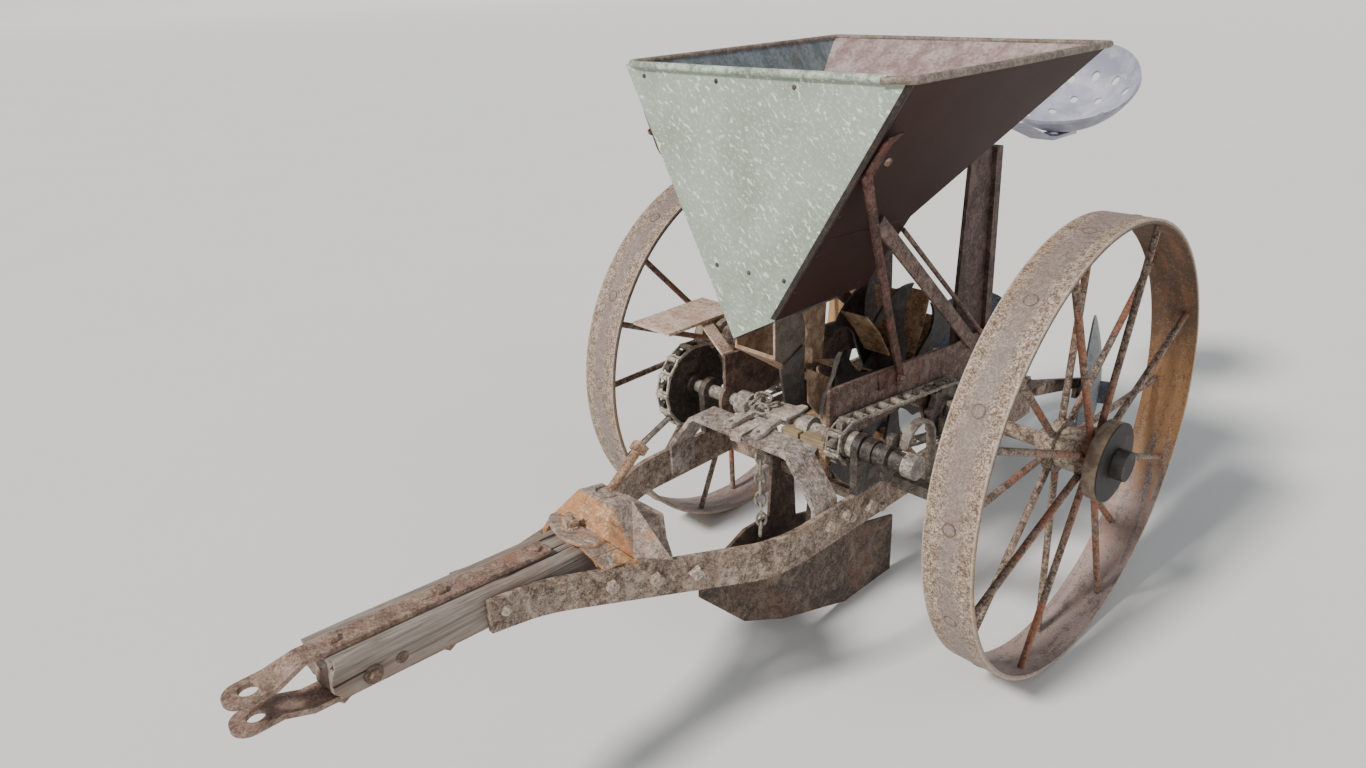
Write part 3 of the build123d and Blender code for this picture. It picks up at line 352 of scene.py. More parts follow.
def seat_paint():
    """Faded lavender-grey paint with dull rubbed patches and rust at the pinholes."""
    finish = Finish("grey_seat_steel")
    broad = finish.noise(9, 5, 0.6, 0.5)
    rub = finish.noise(22, 6, 0.65, 0.8)
    fine = finish.noise(210, 4, 0.6)
    color = finish.blend(broad.band(0.38, 0.64), shade(150, 150, 166), shade(184, 184, 198))
    color = finish.blend(rub.band(0.56, 0.7) * 0.7, color, shade(206, 205, 210))
    color = finish.blend((fine * 0.5 + rub * 0.5).band(0.6, 0.68) * 0.6, color, shade(126, 100, 86))
    return finish.coat(color, 0.5 + fine * 0.2, broad * 0.6 + fine * 0.2, 0.0007, 0.1)


def chamber_iron():
    """Tan seed chamber, with the fin on its open side near black."""
    finish = Finish("chamber_iron")
    outside = finish.axis("X").band(0.0506, 0.0511)
    fin = (finish.axis("Y") - axle_y).band(-0.3385, -0.3395) * outside
    mottle = finish.noise(48, 6, 0.7, 0.4)
    grain = finish.noise(380, 4, 0.7)
    broad = finish.noise(11, 3, 0.6, 0.5)
    tone = mottle * 0.5 + grain * 0.3 + broad * 0.2
    tan = finish.blend(tone.band(0.42, 0.52), shade(122, 96, 76), shade(166, 136, 110))
    tan = finish.blend(tone.band(0.5, 0.6), tan, shade(198, 172, 146))
    black = finish.blend(tone.band(0.44, 0.6), shade(42, 36, 34), shade(76, 66, 62))
    color = finish.blend(fin, tan, black)
    return finish.coat(color, 0.72 - grain * 0.15, mottle * 0.5 + grain * 0.4, 0.0008)


def block_timber():
    finish = Finish("block_timber")
    fibre = finish.noise(3.0, 5, 0.65, 0.4, finish.stretched((5, 60, 60)))
    fine = finish.noise(300, 3, 0.6)
    color = finish.blend((fibre * 0.7 + fine * 0.3).band(0.35, 0.65), shade(122, 104, 80), shade(170, 150, 116))
    return finish.coat(color, 0.85, fibre * 0.6 + fine * 0.3, 0.0008)


def gusset_rust_and_sunlight():
    """Pressed plate, pinkish grey on top and on its slopes, orange-tan on its front riser and front edges. That
    orange-tan is painted sunlight, laid on by where each face is and which way it points; the mottle, pale flecks,
    orange patches and pits are rust.
    """
    finish = Finish("gusset_rust_and_sunlight")
    normal = finish.node("ShaderNodeNewGeometry", output="Normal")
    level = finish.node("ShaderNodeSeparateXYZ", inputs={0: normal}, output="Z")
    ahead = finish.axis("Y") - axle_y
    mottle = finish.noise(70, 6, 0.7, 0.5)
    broad = finish.noise(14, 4, 0.6, 0.5)
    grain = finish.noise(230, 4, 0.72)
    pits = finish.cells(200)
    tone = mottle * 0.5 + grain * 0.5
    grey = finish.blend(tone.band(0.42, 0.52), shade(116, 98, 88), shade(154, 134, 122))
    grey = finish.blend(tone.band(0.51, 0.6), grey, shade(190, 173, 160))
    orange = finish.blend(tone.band(0.42, 0.52), shade(136, 98, 70), shade(182, 140, 104))
    orange = finish.blend(tone.band(0.52, 0.6), orange, shade(222, 194, 158))
    orange = finish.blend(broad.band(0.42, 0.6) * 0.6, orange, shade(188, 126, 78))
    # Painted sunlight: orange-tan on the front riser's faces that are not level, and on the lip's steep faces
    lean = level + (mottle - 0.5) * 0.3
    pressing = ahead.band(-0.870, -0.866)
    painted_sun_faces = (ahead + (mottle - 0.5) * 0.02).band(-0.827, -0.832) * lean.band(0.96, 0.82) * pressing
    painted_sun_faces = painted_sun_faces + lean.band(0.34, 0.2) * (1 - pressing)
    color = finish.blend(painted_sun_faces, grey, orange)
    color = finish.blend(broad.band(0.56, 0.66) * (1 - painted_sun_faces) * 0.5, color, shade(178, 128, 92))
    color = finish.blend(pits.band(0.22, 0.06) * 0.5, color, shade(92, 68, 54))
    return finish.coat(color, 0.85 - grain * 0.15, mottle * 0.5 + grain * 0.4 + pits.band(0.0, 0.3) * 0.3, 0.0009)


finishes = {
    "weathered_timber": weathered_timber(),
    "galvanised_sheet": galvanised_front(),
    "wheel_rust": wheel_iron(),
    "drum_iron": drum_iron(),
    "grey_seat_steel": seat_paint(),
    "hopper_left": hopper_wall(
        "hopper_paint_left", 1, shade(46, 24, 20), shade(64, 36, 30), shade(104, 84, 76), shade(150, 130, 122)),
    "hopper_right": hopper_wall(
        "hopper_paint_right", -1, shade(58, 42, 38), shade(78, 56, 48), shade(96, 104, 108), shade(132, 142, 146)),
    "hopper_rear": hopper_wall(
        "hopper_paint_rear", 0, shade(52, 38, 35), shade(72, 52, 46), shade(140, 116, 112), shade(182, 164, 160)),
    "hopper_rim": rusted(
        "rim_bead", shade(92, 78, 70), shade(124, 110, 100), shade(158, 145, 134), shade(120, 84, 64), 0.3, 0.7),
    "rusty_steel": rusted(
        "rusty_steel", shade(76, 60, 50), shade(134, 114, 99), shade(182, 166, 150), shade(136, 96, 70), 0.4, 0.8),
    "board_steel": rusted(
        "board_steel", shade(66, 48, 41), shade(104, 82, 73), shade(146, 124, 112), shade(126, 78, 58), 0.45),
    "strap_steel": rusted(
        "strap_steel", shade(98, 74, 63), shade(136, 110, 96), shade(172, 149, 133), shade(144, 88, 62), 0.5, 0.9),
    "hopper_strap": rusted(
        "hopper_strap", shade(44, 27, 23), shade(80, 50, 42), shade(122, 88, 76), shade(118, 54, 38), 0.6),
    # Gusset plate: rust, with painted sunlight in orange-tan on its front riser and the lip's edges
    "orange_rust_plate": gusset_rust_and_sunlight(),
    "arch_steel": rusted(
        "arch_steel", shade(88, 75, 68), shade(144, 129, 120), shade(194, 181, 172), shade(144, 102, 76), 0.2, 0.8),
    "red_rust_bar": rusted(
        "red_rust_bar", shade(62, 42, 35), shade(100, 72, 62), shade(140, 112, 98), shade(126, 70, 48), 0.5),
    "dull_iron": rusted(
        "dull_iron", shade(80, 71, 64), shade(114, 103, 94), shade(152, 141, 129), shade(120, 88, 66), 0.3, 0.8, 0.62),
    "bolt_iron": rusted(
        "bolt_iron", shade(104, 86, 74), shade(160, 142, 126), shade(212, 198, 182), shade(158, 112, 80), 0.3, 0.5, 0.6),
    "dark_casting": rusted(
        "dark_casting", shade(30, 26, 24), shade(60, 52, 47), shade(104, 94, 85), shade(84, 58, 42), 0.3, 0.8, 0.6),
    "brown_shoe_steel": rusted(
        "brown_shoe_steel", shade(50, 40, 34), shade(86, 70, 60), shade(128, 110, 96), shade(106, 70, 48), 0.45),
    "tan_picker_iron": rusted(
        "tan_picker_iron", shade(116, 86, 60), shade(164, 130, 96), shade(202, 172, 138), shade(152, 98, 60), 0.4, 1.2),
    "picker_blade_iron": rusted(
        "picker_blade_iron", shade(22, 19, 18), shade(42, 37, 34), shade(76, 68, 62), shade(66, 46, 35), 0.2, 0.9, 0.5),
    "pale_rust_plate": rusted(
        "pale_rust_plate", shade(150, 118, 98), shade(198, 168, 148), shade(226, 206, 190), shade(170, 116, 82), 0.35),
    "blue_grey_disc": rusted(
        "blue_grey_disc", shade(48, 50, 56), shade(80, 84, 92), shade(112, 116, 123), shade(92, 66, 52), 0.25, 1.0, 0.55),
    "spoke_iron": spoke_iron(),
    # Paler than the finger's steel: painted light standing for the sky light on its faces
    "finger_steel_with_painted_light": rusted(
        "finger_steel_with_painted_light", shade(136, 130, 124), shade(172, 166, 158), shade(204, 198, 190), shade(150, 124, 100), 0.15, 0.6),
    "chamber_iron": chamber_iron(),
    "block_timber": block_timber(),
    # Dark iron: painted shadow round the tread rivets, and the beam bolts' own finish
    "rivet_shadow_and_bolt_iron": rusted(
        "rivet_shadow_and_bolt_iron", shade(78, 60, 48), shade(108, 86, 70), shade(140, 118, 100), shade(112, 76, 52), 0.3, 0.5),
    "post_steel": rusted(
        "post_steel", shade(54, 38, 34), shade(80, 60, 54), shade(112, 92, 84), shade(92, 54, 42), 0.3, 1.5),
    "rim_zinc": rusted(
        "rim_zinc", shade(118, 130, 116), shade(172, 184, 168), shade(214, 222, 206), shade(140, 124, 100), 0.15, 0.8, 0.55),
    "flange_paint": rusted(
        "flange_paint", shade(24, 16, 14), shade(38, 26, 23), shade(66, 52, 45), shade(66, 40, 30), 0.2, 0.8, 0.55),
    "gusset_bolt_iron": rusted(
        "gusset_bolt_iron", shade(104, 74, 52), shade(164, 136, 108), shade(212, 200, 184), shade(160, 100, 58), 0.4, 0.5),
    "lever_rust": rusted(
        "lever_rust", shade(96, 68, 50), shade(148, 114, 88), shade(188, 158, 130), shade(148, 94, 64), 0.35, 0.7),
    "chain_iron": rusted(
        "chain_iron", shade(84, 76, 68), shade(132, 122, 111), shade(182, 173, 160), shade(118, 86, 66), 0.2, 0.5, 0.5),
    "pale_chain_iron": rusted(
        "pale_chain_iron", shade(116, 108, 96), shade(172, 164, 148), shade(210, 204, 188), shade(130, 100, 76), 0.15, 0.5),
    # Paler than the levers' steel: painted light on the tops and edges of the slotted levers, their plate and the arch
    # clip
    "lever_steel_with_painted_light": rusted(
        "lever_steel_with_painted_light", shade(120, 106, 97), shade(174, 160, 149), shade(214, 204, 193), shade(150, 112, 84), 0.2, 0.8),
    "shaft_steel": rusted(
        "shaft_steel", shade(92, 84, 77), shade(146, 137, 127), shade(196, 188, 176), shade(130, 98, 74), 0.2, 0.6, 0.55),
}

# Which finish each node of the frame wears; the record's slot serves where none is named here
node_finish = {
    "hopper_side_left": "hopper_left",
    "hopper_side_right": "hopper_right",
    "hopper_rear_sheet": "hopper_rear",
    "hopper_rim": "hopper_rim",
    "side_boards": "board_steel",
    "hitch_strap_upper": "strap_steel",
    "hitch_strap_lower": "strap_steel",
    "seed_chamber": "chamber_iron",
    "arch_bridge": "arch_steel",
    "countershaft": "shaft_steel",
    "clutch_casting": "dark_casting",
    "arch_levers": "arch_steel",
    "hopper_straps": "hopper_strap",
    "hopper_braces": "board_steel",
    "seat_posts": "post_steel",
    "picker_drive_sprockets": "dull_iron",
    "axle_drive_sprockets": "dark_casting",
    "picker_wheel": "picker_blade_iron",
    "wheel_left_hub": "spoke_iron",
    "wheel_right_hub": "spoke_iron",
    "wheel_left_drum": "drum_iron",
    "wheel_right_drum": "drum_iron",
}


def dress_frame():
    slots = {part["node"]: part["material_slot"] for part in frame["record"]["subparts"]}
    for name, node in frame["nodes"].items():
        finish = finishes[node_finish.get(name, slots[name])]
        for slot in node.material_slots:
            slot.material = finish


dress_frame()


# Mesh helpers

def facing(point, direction, roll=0.0):
    """Matrix that puts a shape's own Z along a direction at a point."""
    turn = Vector(direction).normalized().to_track_quat("Z", "Y").to_matrix().to_4x4()
    return Matrix.Translation(point) @ turn @ Matrix.Rotation(roll, 4, "Z")


def piece(mesh, name, finish, body="frame", smooth=False):
    """Turns a bmesh into a finished object that rides on a body."""
    for face in mesh.faces:
        face.smooth = smooth
    data = bpy.data.meshes.new(name)
    mesh.to_mesh(data)
    mesh.free()
    data.materials.append(finishes[finish])
    made = bpy.data.objects.new(name, data)
    bpy.context.scene.collection.objects.link(made)
    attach(made, body)
    return made


def add_bolt(mesh, point, direction, across=0.018, tall=0.009, sides=6, washer=0.0, roll=0.3):
    """Bolt head or nut with eased corners, on a round washer where one has a width."""
    place = facing(point, direction, roll)
    lift = 0.0
    if washer:
        lift = 0.0025
        bmesh.ops.create_cone(
            mesh, cap_ends=True, segments=18, radius1=washer / 2, radius2=washer / 2 - 0.0008, depth=lift,
            matrix=place @ Matrix.Translation((0, 0, lift / 2)))
    radius = across / 2 / cos(pi / sides)
    head = bmesh.ops.create_cone(
        mesh, cap_ends=True, segments=sides, radius1=radius, radius2=radius, depth=tall,
        matrix=place @ Matrix.Translation((0, 0, lift + tall / 2)))
    top = lift + tall
    inverse = place.inverted()
    upper = [v for v in head["verts"] if (inverse @ v.co).z > top - 0.0001]
    rim = {edge for v in upper for edge in v.link_edges if all(end in upper for end in edge.verts)}
    bmesh.ops.bevel(
        mesh, geom=list(rim), offset=across * 0.09, segments=2, profile=0.5, affect="EDGES", material=-1)


def add_rivet(mesh, point, direction, width=0.014, tall=0.005):
    """Domed rivet head."""
    place = facing(point, direction)
    squash = Matrix.Diagonal((1, 1, 2 * tall / width, 1))
    bmesh.ops.create_uvsphere(mesh, u_segments=12, v_segments=8, radius=width / 2, matrix=place @ squash)


def at(x, y, z):
    """Place in the frame from X, station and height."""
    return Vector((x, axle_y + y, z))


def ease(mesh, verts, offset, segments=2):
    """Rounds the sharp edges round the given vertices."""
    edges = {edge for v in verts for edge in v.link_edges if edge.is_manifold and edge.calc_face_angle() > 0.45}
    bmesh.ops.bevel(
        mesh, geom=list(edges), offset=offset, segments=segments, profile=0.5, affect="EDGES", material=-1)


def bar_place(start, end, broad):
    """Matrix at a bar's middle, with X along its broad side and Z along its length."""
    run = (end - start).normalized()
    side = Vector(broad)
    side = (side - run * run.dot(side)).normalized()
    return Matrix.Translation((start + end) / 2) @ Matrix((side, run.cross(side), run)).transposed().to_4x4()


def add_bar(mesh, start, end, width, thickness, broad=(1, 0, 0), rounding=0.0012, segments=2):
    """Bar with eased edges between two places."""
    size = Matrix.Diagonal((width, thickness, (end - start).length, 1))
    made = bmesh.ops.create_cube(mesh, size=1.0, matrix=bar_place(start, end, broad) @ size)
    ease(mesh, made["verts"], rounding, segments)


def add_plate(mesh, corners, drop, rounding=0.0008):
    """Plate from the corners of one face, given its thickness along a vector."""
    verts = [mesh.verts.new(corner) for corner in corners]
    face = mesh.faces.new(verts)
    grown = bmesh.ops.extrude_face_region(mesh, geom=[face])["geom"]
    verts += [v for v in grown if isinstance(v, bmesh.types.BMVert)]
    bmesh.ops.translate(mesh, verts=verts[len(corners):], vec=Vector(drop))
    bmesh.ops.recalc_face_normals(mesh, faces=list({f for v in verts for f in v.link_faces}))
    ease(mesh, verts, rounding, 1)


def add_strip(mesh, points, broad, deep, rounding=0.001):
    """Bar swept along its points, with one section throughout."""
    broad, deep = Vector(broad) / 2, Vector(deep) / 2
    verts = [mesh.verts.new(points[0] + broad * u + deep * v) for u, v in ((-1, -1), (1, -1), (1, 1), (-1, 1))]
    end = mesh.faces.new(verts)
    for start, stop in zip(points, points[1:]):
        grown = bmesh.ops.extrude_face_region(mesh, geom=[end])["geom"]
        end = next(part for part in grown if isinstance(part, bmesh.types.BMFace))
        bmesh.ops.translate(mesh, verts=end.verts[:], vec=stop - start)
        verts += end.verts[:]
    bmesh.ops.recalc_face_normals(mesh, faces=list({f for v in verts for f in v.link_faces}))
    ease(mesh, verts, rounding)


def add_tube(mesh, start, end, outer, inner, segments=24):
    """Short tube or washer between two places."""
    run = end - start
    place = facing(start, run)
    ring = bmesh.ops.create_circle(mesh, segments=segments, radius=outer, matrix=place)["verts"]
    hole = bmesh.ops.create_circle(mesh, segments=segments, radius=inner, matrix=place)["verts"]
    loops = {edge for v in ring + hole for edge in v.link_edges}
    faces = bmesh.ops.bridge_loops(mesh, edges=list(loops))["faces"]
    grown = bmesh.ops.extrude_face_region(mesh, geom=faces)["geom"]
    far = [v for v in grown if isinstance(v, bmesh.types.BMVert)]
    bmesh.ops.translate(mesh, verts=far, vec=run)
    bmesh.ops.recalc_face_normals(mesh, faces=list({f for v in ring + hole + far for f in v.link_faces}))


def wires(name, runs, radius, finish, body="frame", closed=False):
    """Round rods, wires or rings, each bent along its own control points."""
    data = bpy.data.curves.new(name, "CURVE")
    data.dimensions = "3D"
    data.bevel_depth = radius
    data.bevel_resolution = 3
    data.resolution_u = 5
    data.use_fill_caps = True
    for run in runs:
        spline = data.splines.new("NURBS")
        spline.points.add(len(run) - 1)
        for point, place in zip(spline.points, run):
            point.co = (*place, 1)
        spline.use_cyclic_u = closed
        spline.order_u = 3
        spline.use_endpoint_u = not closed
    data.materials.append(finishes[finish])
    made = bpy.data.objects.new(name, data)
    bpy.context.scene.collection.objects.link(made)
    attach(made, body)
    return made


# Hopper: rolled rim, front flange, lap seam and rivets

def wall_x(z):
    """X of the near wall's outer face at a height."""
    return throat_half + (z - near_low) * wall_run


wall_run = (hopper_half - throat_half) / (hopper_top - near_low)
wall_out = Vector((1, 0, -wall_run)).normalized()


def make_hopper_rim():
    bead = 0.0066
    z = hopper_top - bead
    y = -0.4325
    x = hopper_half - 0.0035
    front = [at(-x - 0.002, y + 0.034, z), at(-x - 0.002, y, z - 0.001), at(-0.2, y - 0.001, z), at(-0.05, y, z - 0.001)]
    front += [at(0.12, y - 0.001, z), at(0.24, y, z), at(0.28, y - 0.001, z), at(0.297, y, z)]
    pale = wires("hopper_front_bead", [front], bead, "rim_zinc")
    near = [at(0.268, y - 0.0025, z - 0.0022), at(0.285, y - 0.002, z), at(0.3, y - 0.001, z), at(x, y, z), at(x, y + 0.02, z), at(x + 0.001, -0.2, z - 0.001)]
    near += [at(x, 0.05, z), at(x, 0.2, z), at(x, 0.221, z), at(0.3, 0.221, z), at(0.1, 0.222, z - 0.001)]
    near += [at(-0.1, 0.221, z), at(-0.3, 0.221, z), at(-x, 0.221, z), at(-x, 0.2, z), at(-x, 0, z), at(-x, y + 0.03, z)]
    brown = wires("hopper_side_bead", [near], bead, "hopper_rim")
    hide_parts("hopper_rim")
    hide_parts("hopper_rim")


def make_hopper_trim():
    """Flange of the near wall over the front sheet's edge, and the lap seam across the near wall."""
    flange = bmesh.new()
    width = 0.010
    front = -0.4318
    top, low = 1.1795, near_low + 0.004
    outer = 0.0028
    corners = [at(wall_x(top) + outer, front, top), at(wall_x(top) - width, front, top)]
    corners += [at(wall_x(low) - width, front, low), at(wall_x(low) + outer, front, low)]
    add_plate(flange, corners, (0, 0.0056, 0))
    add_bar(flange, at(wall_x(0.9139) + 0.0006, -0.4026, 0.9139), at(wall_x(0.9025) + 0.0006, -0.1708, 0.9025),
            0.0016, 0.0012, wall_out, 0.0004, 1)
    piece(flange, "hopper_flange", "flange_paint")

    spots = bmesh.new()
    for x, z in ((-0.269, 1.164), (-0.081, 1.164), (0.095, 1.163), (-0.090, 0.831), (-0.009, 0.831), (0.075, 0.832)):
        add_rivet(spots, at(x, -0.430, z), (0, -1, 0), 0.009, 0.0022)
    piece(spots, "hopper_front_rivets", "dark_casting", smooth=True)

    dots = bmesh.new()
    for z in (1.1226, 1.0417, 0.9609, 0.8849, 0.81):
        add_rivet(dots, at(wall_x(z), -0.417, z), wall_out, 0.006, 0.002)
    for y in (-0.33, -0.26, -0.19):
        add_rivet(dots, at(wall_x(0.768), y, 0.768), wall_out, 0.007, 0.002)
    piece(dots, "hopper_side_rivets", "flange_paint", smooth=True)


def make_hopper_straps():
    """Strap up each hopper wall from its board, bent at the knee and curled over at its head, with its bolts."""
    path = ((-0.153, 0.560), (-0.155, 0.590), (-0.240, 0.730), (-0.340, 0.900), (-0.414, 1.030), (-0.413, 1.086),
            (-0.409, 1.099), (-0.402, 1.103))
    for side, low, name in ((1, near_low, "near"), (-1, far_low, "far")):
        run = (hopper_half - throat_half) / (hopper_top - low)
        knee = path[4]
        knee_x = throat_half + (knee[1] - low) * run + 0.0075
        foot_x = board_outer + 0.0055
        points = []
        for i, (y, z) in enumerate(path):
            rise = (z - path[1][1]) / (knee[1] - path[1][1])
            x = foot_x + max(0.0, rise) * (knee_x - foot_x) if i < 4 else knee_x + (z - knee[1]) * run
            points.append(at(side * (x + (0.004 if i > 5 else 0)), y, z))
        strap = bmesh.new()
        add_strip(strap, points, (0, 0.021, 0), (side * 0.0062, 0, -0.0022), 0.0012)
        made = piece(strap, "hopper_strap_" + name, "hopper_strap")
        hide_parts("hopper_straps")
        bolts = bmesh.new()
        add_bolt(bolts, at(side * (foot_x + 0.003), -0.154, 0.574), (side, 0, 0), 0.015, 0.010, 6, 0.024, 0.4)
        add_bolt(bolts, points[5] + Vector((side * 0.001, 0.001, -0.026)), (side, 0, -run), 0.013, 0.005, 6, 0.0, 0.2)
        piece(bolts, "hopper_strap_bolts_" + name, "board_steel")
        bracket = bmesh.new()
        corners = ((-0.221, 0.606), (-0.167, 0.601), (-0.140, 0.578), (-0.150, 0.562), (-0.218, 0.567))
        add_plate(bracket, [at(side * (board_outer + 0.0003), y, z) for y, z in corners], (side * 0.0045, 0, 0))
        piece(bracket, "strap_bracket_" + name, "hopper_strap")


# Wheels: riveted treads

def make_tread_rivets(side, body):
    """Flush round heads along the middle of the tread, one for each outer spoke, each on a thin dark disc that is
    painted shadow round its head.
    """
    rivets = bmesh.new()
    count = 14
    shadow_rings = bmesh.new()
    for i in range(count):
        turn = radians(4) + 2 * pi * i / count
        out = Vector((0, -cos(turn), sin(turn)))
        place = Vector((side * rim_middle, axle_y, axle_z)) + out * (wheel_radius - 0.0006)
        add_rivet(rivets, place, out, 0.0225, 0.0024)
        # Thin dark disc under each head: painted shadow round the rivet
        bmesh.ops.create_cone(
            shadow_rings, cap_ends=True, segments=20, radius1=0.0134, radius2=0.0128, depth=0.0022,
            matrix=facing(place - out * 0.0002, out))
    piece(shadow_rings, "tread_rivet_shadow_rings_" + body[6:], "rivet_shadow_and_bolt_iron", body)
    piece(rivets, "tread_rivets_" + body[6:], "wheel_rust", body, smooth=True)


# Tongue: worn timber, strap bolts and rail bolts

def make_timber():
    """Beam with rounded arrises, long splits and a broken front end, in the place of the sawn block."""
    low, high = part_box("tongue_beam")
    front, rear = low.y, high.y
    slope = (0.512 - 0.486) / (rear - front)
    beam = bmesh.new()
    middle = (low + high) / 2
    size = high - low
    depth = 0.070
    made = bmesh.ops.create_cube(beam, size=1.0, matrix=Matrix.Diagonal((size.x, size.y, depth, 1)))
    for axis, count in ((1, 44), (0, 9), (2, 7)):
        for i in range(1, count):
            normal = Vector((axis == 0, axis == 1, axis == 2))
            span = (size.x, size.y, depth)[axis]
            bmesh.ops.bisect_plane(
                beam, geom=beam.verts[:] + beam.edges[:] + beam.faces[:],
                plane_co=normal * (span * (i / count - 0.5)), plane_no=normal)
    half = Vector((size.x / 2, size.y / 2, depth / 2))
    for v in beam.verts:
        edge_x, edge_z = half.x - abs(v.co.x), half.z - abs(v.co.z)
        end = half.y + v.co.y
        grain = noise.noise(Vector((v.co.x * 55, v.co.y * 3.2, v.co.z * 55)))
        arris = max(0.0, 0.006 - hypot(edge_x, edge_z)) * (0.55 + 0.5 * grain)
        inward = 0.0008 + 0.0011 * grain + arris
        if edge_x < 0.0001:
            v.co.x -= inward * (1 if v.co.x > 0 else -1)
        if edge_z < 0.0001:
            v.co.z -= inward * (1 if v.co.z > 0 else -1)
        if end < 0.0001:
            chip = noise.noise(Vector((v.co.x * 38, 4.0, v.co.z * 38)))
            v.co.y += max(0.0, 0.004 + 0.010 * chip + (0.012 if v.co.z < -0.025 and v.co.x > 0.02 else 0))
        v.co.z -= slope * (v.co.y + half.y) - 0.0
    bmesh.ops.translate(beam, verts=beam.verts, vec=Vector((0, middle.y, 0.512 - depth / 2)))
    made = piece(beam, "tongue_timber", "weathered_timber")
    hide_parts("tongue_beam")


def make_upper_strap():
    """Hitch strap over the timber: as wide as its ear in front, and narrower on its far side along the beam."""
    strap = bmesh.new()
    strap.from_mesh(frame["nodes"]["hitch_strap_upper"].data)
    bmesh.ops.remove_doubles(strap, verts=strap.verts, dist=0.00001)
    for v in strap.verts:
        if v.co.y > station(-1.37) and v.co.x < 0:
            v.co.x = -0.011
    ease(strap, strap.verts[:], 0.0014)
    made = piece(strap, "hitch_strap", "strap_steel")
    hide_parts("hitch_strap_upper")


def make_tongue_bolts():
    strap_up = Vector((0, 0.055, 1))
    heads = bmesh.new()
    for x, y, z, roll in ((0.006, -1.303, 0.5205, 0.2), (0.006, -1.133, 0.511, 0.9), (0.008, -0.965, 0.5015, 0.5)):
        add_bolt(heads, at(x, y, z), strap_up, 0.020, 0.006, 6, 0.0, roll)
    for y in (-1.303, -1.133):
        add_bolt(heads, at(0.0, y, 0.4275 + (y + 1.303) * -0.055), (0, 0, -1), 0.022, 0.011, 4, 0.030)
    piece(heads, "strap_bolts", "strap_steel")

    through = bmesh.new()
    add_bolt(through, at(0.0455, -1.270, 0.463), (1, 0, 0), 0.015, 0.008, 6, 0.030, 0.4)
    add_rivet(through, at(0.0455, -1.225, 0.465), (1, 0, 0), 0.020, 0.0015)
    add_bolt(through, at(-0.0455, -1.270, 0.463), (-1, 0, 0), 0.022, 0.010, 4, 0.032, 0.7)
    piece(through, "beam_bolts", "rivet_shadow_and_bolt_iron")

    rail = bmesh.new()
    for side in (1, -1):
        add_rivet(rail, at(side * 0.056, -1.057, 0.459), (side, 0, 0), 0.020, 0.008)
        add_rivet(rail, at(side * 0.056, -0.995, 0.448), (side, 0, 0), 0.014, 0.003)
    piece(rail, "rail_nose_rivets", "bolt_iron", smooth=True)


def make_rail_bolts():
    """Square and six-sided nuts along the rails."""
    nuts = bmesh.new()
    slant = Vector((0.425, -0.149, 0)).normalized()
    for side in (1, -1):
        out = Vector((side * slant.x, slant.y, 0))
        for y, z in ((-0.879, 0.428), (-0.806, 0.417), (-0.737, 0.405)):
            x = 0.056 + (y + 0.985) * 0.149 / 0.425 + 0.0005
            add_bolt(nuts, at(side * x, y, z), out, 0.021, 0.010, 4 if y > -0.8 else 6, 0.0, 0.5 + y)
        for y, z, across in ((-0.330, 0.381, 0.024), (-0.407, 0.395, 0.019), (-0.387, 0.380, 0.016), (-0.455, 0.393, 0.020)):
            add_bolt(nuts, at(side * rail_outer, y, z), (side, 0, 0), across, across * 0.45, 4 if across > 0.02 else 6,
                     across * 1.5, y * 9)
        for y in (-0.040, 0.040):
            add_bolt(nuts, at(side * rail_outer, y, 0.400), (side, 0, 0), 0.020, 0.009, 6, 0.0, y * 20)
            add_bolt(nuts, at(side * 0.200, y * 0.9, 0.487), (0, 0, 1), 0.016, 0.010, 4, 0.0, 0.4)
        for y in (0.274, 0.294):
            add_bolt(nuts, at(side * 0.200, y, 0.436), (0, 0, 1), 0.015, 0.009, 6, 0.0, y * 30)
        add_bolt(nuts, at(side * 0.1951, -0.449, 0.385), (-side, 0, 0), 0.018, 0.009, 6, 0.0, 0.2)
        add_bolt(nuts, at(side * rail_outer, -0.286, 0.358), (side, 0, 0), 0.016, 0.008, 6, 0.0, 0.6)
    piece(nuts, "rail_bolts", "bolt_iron")


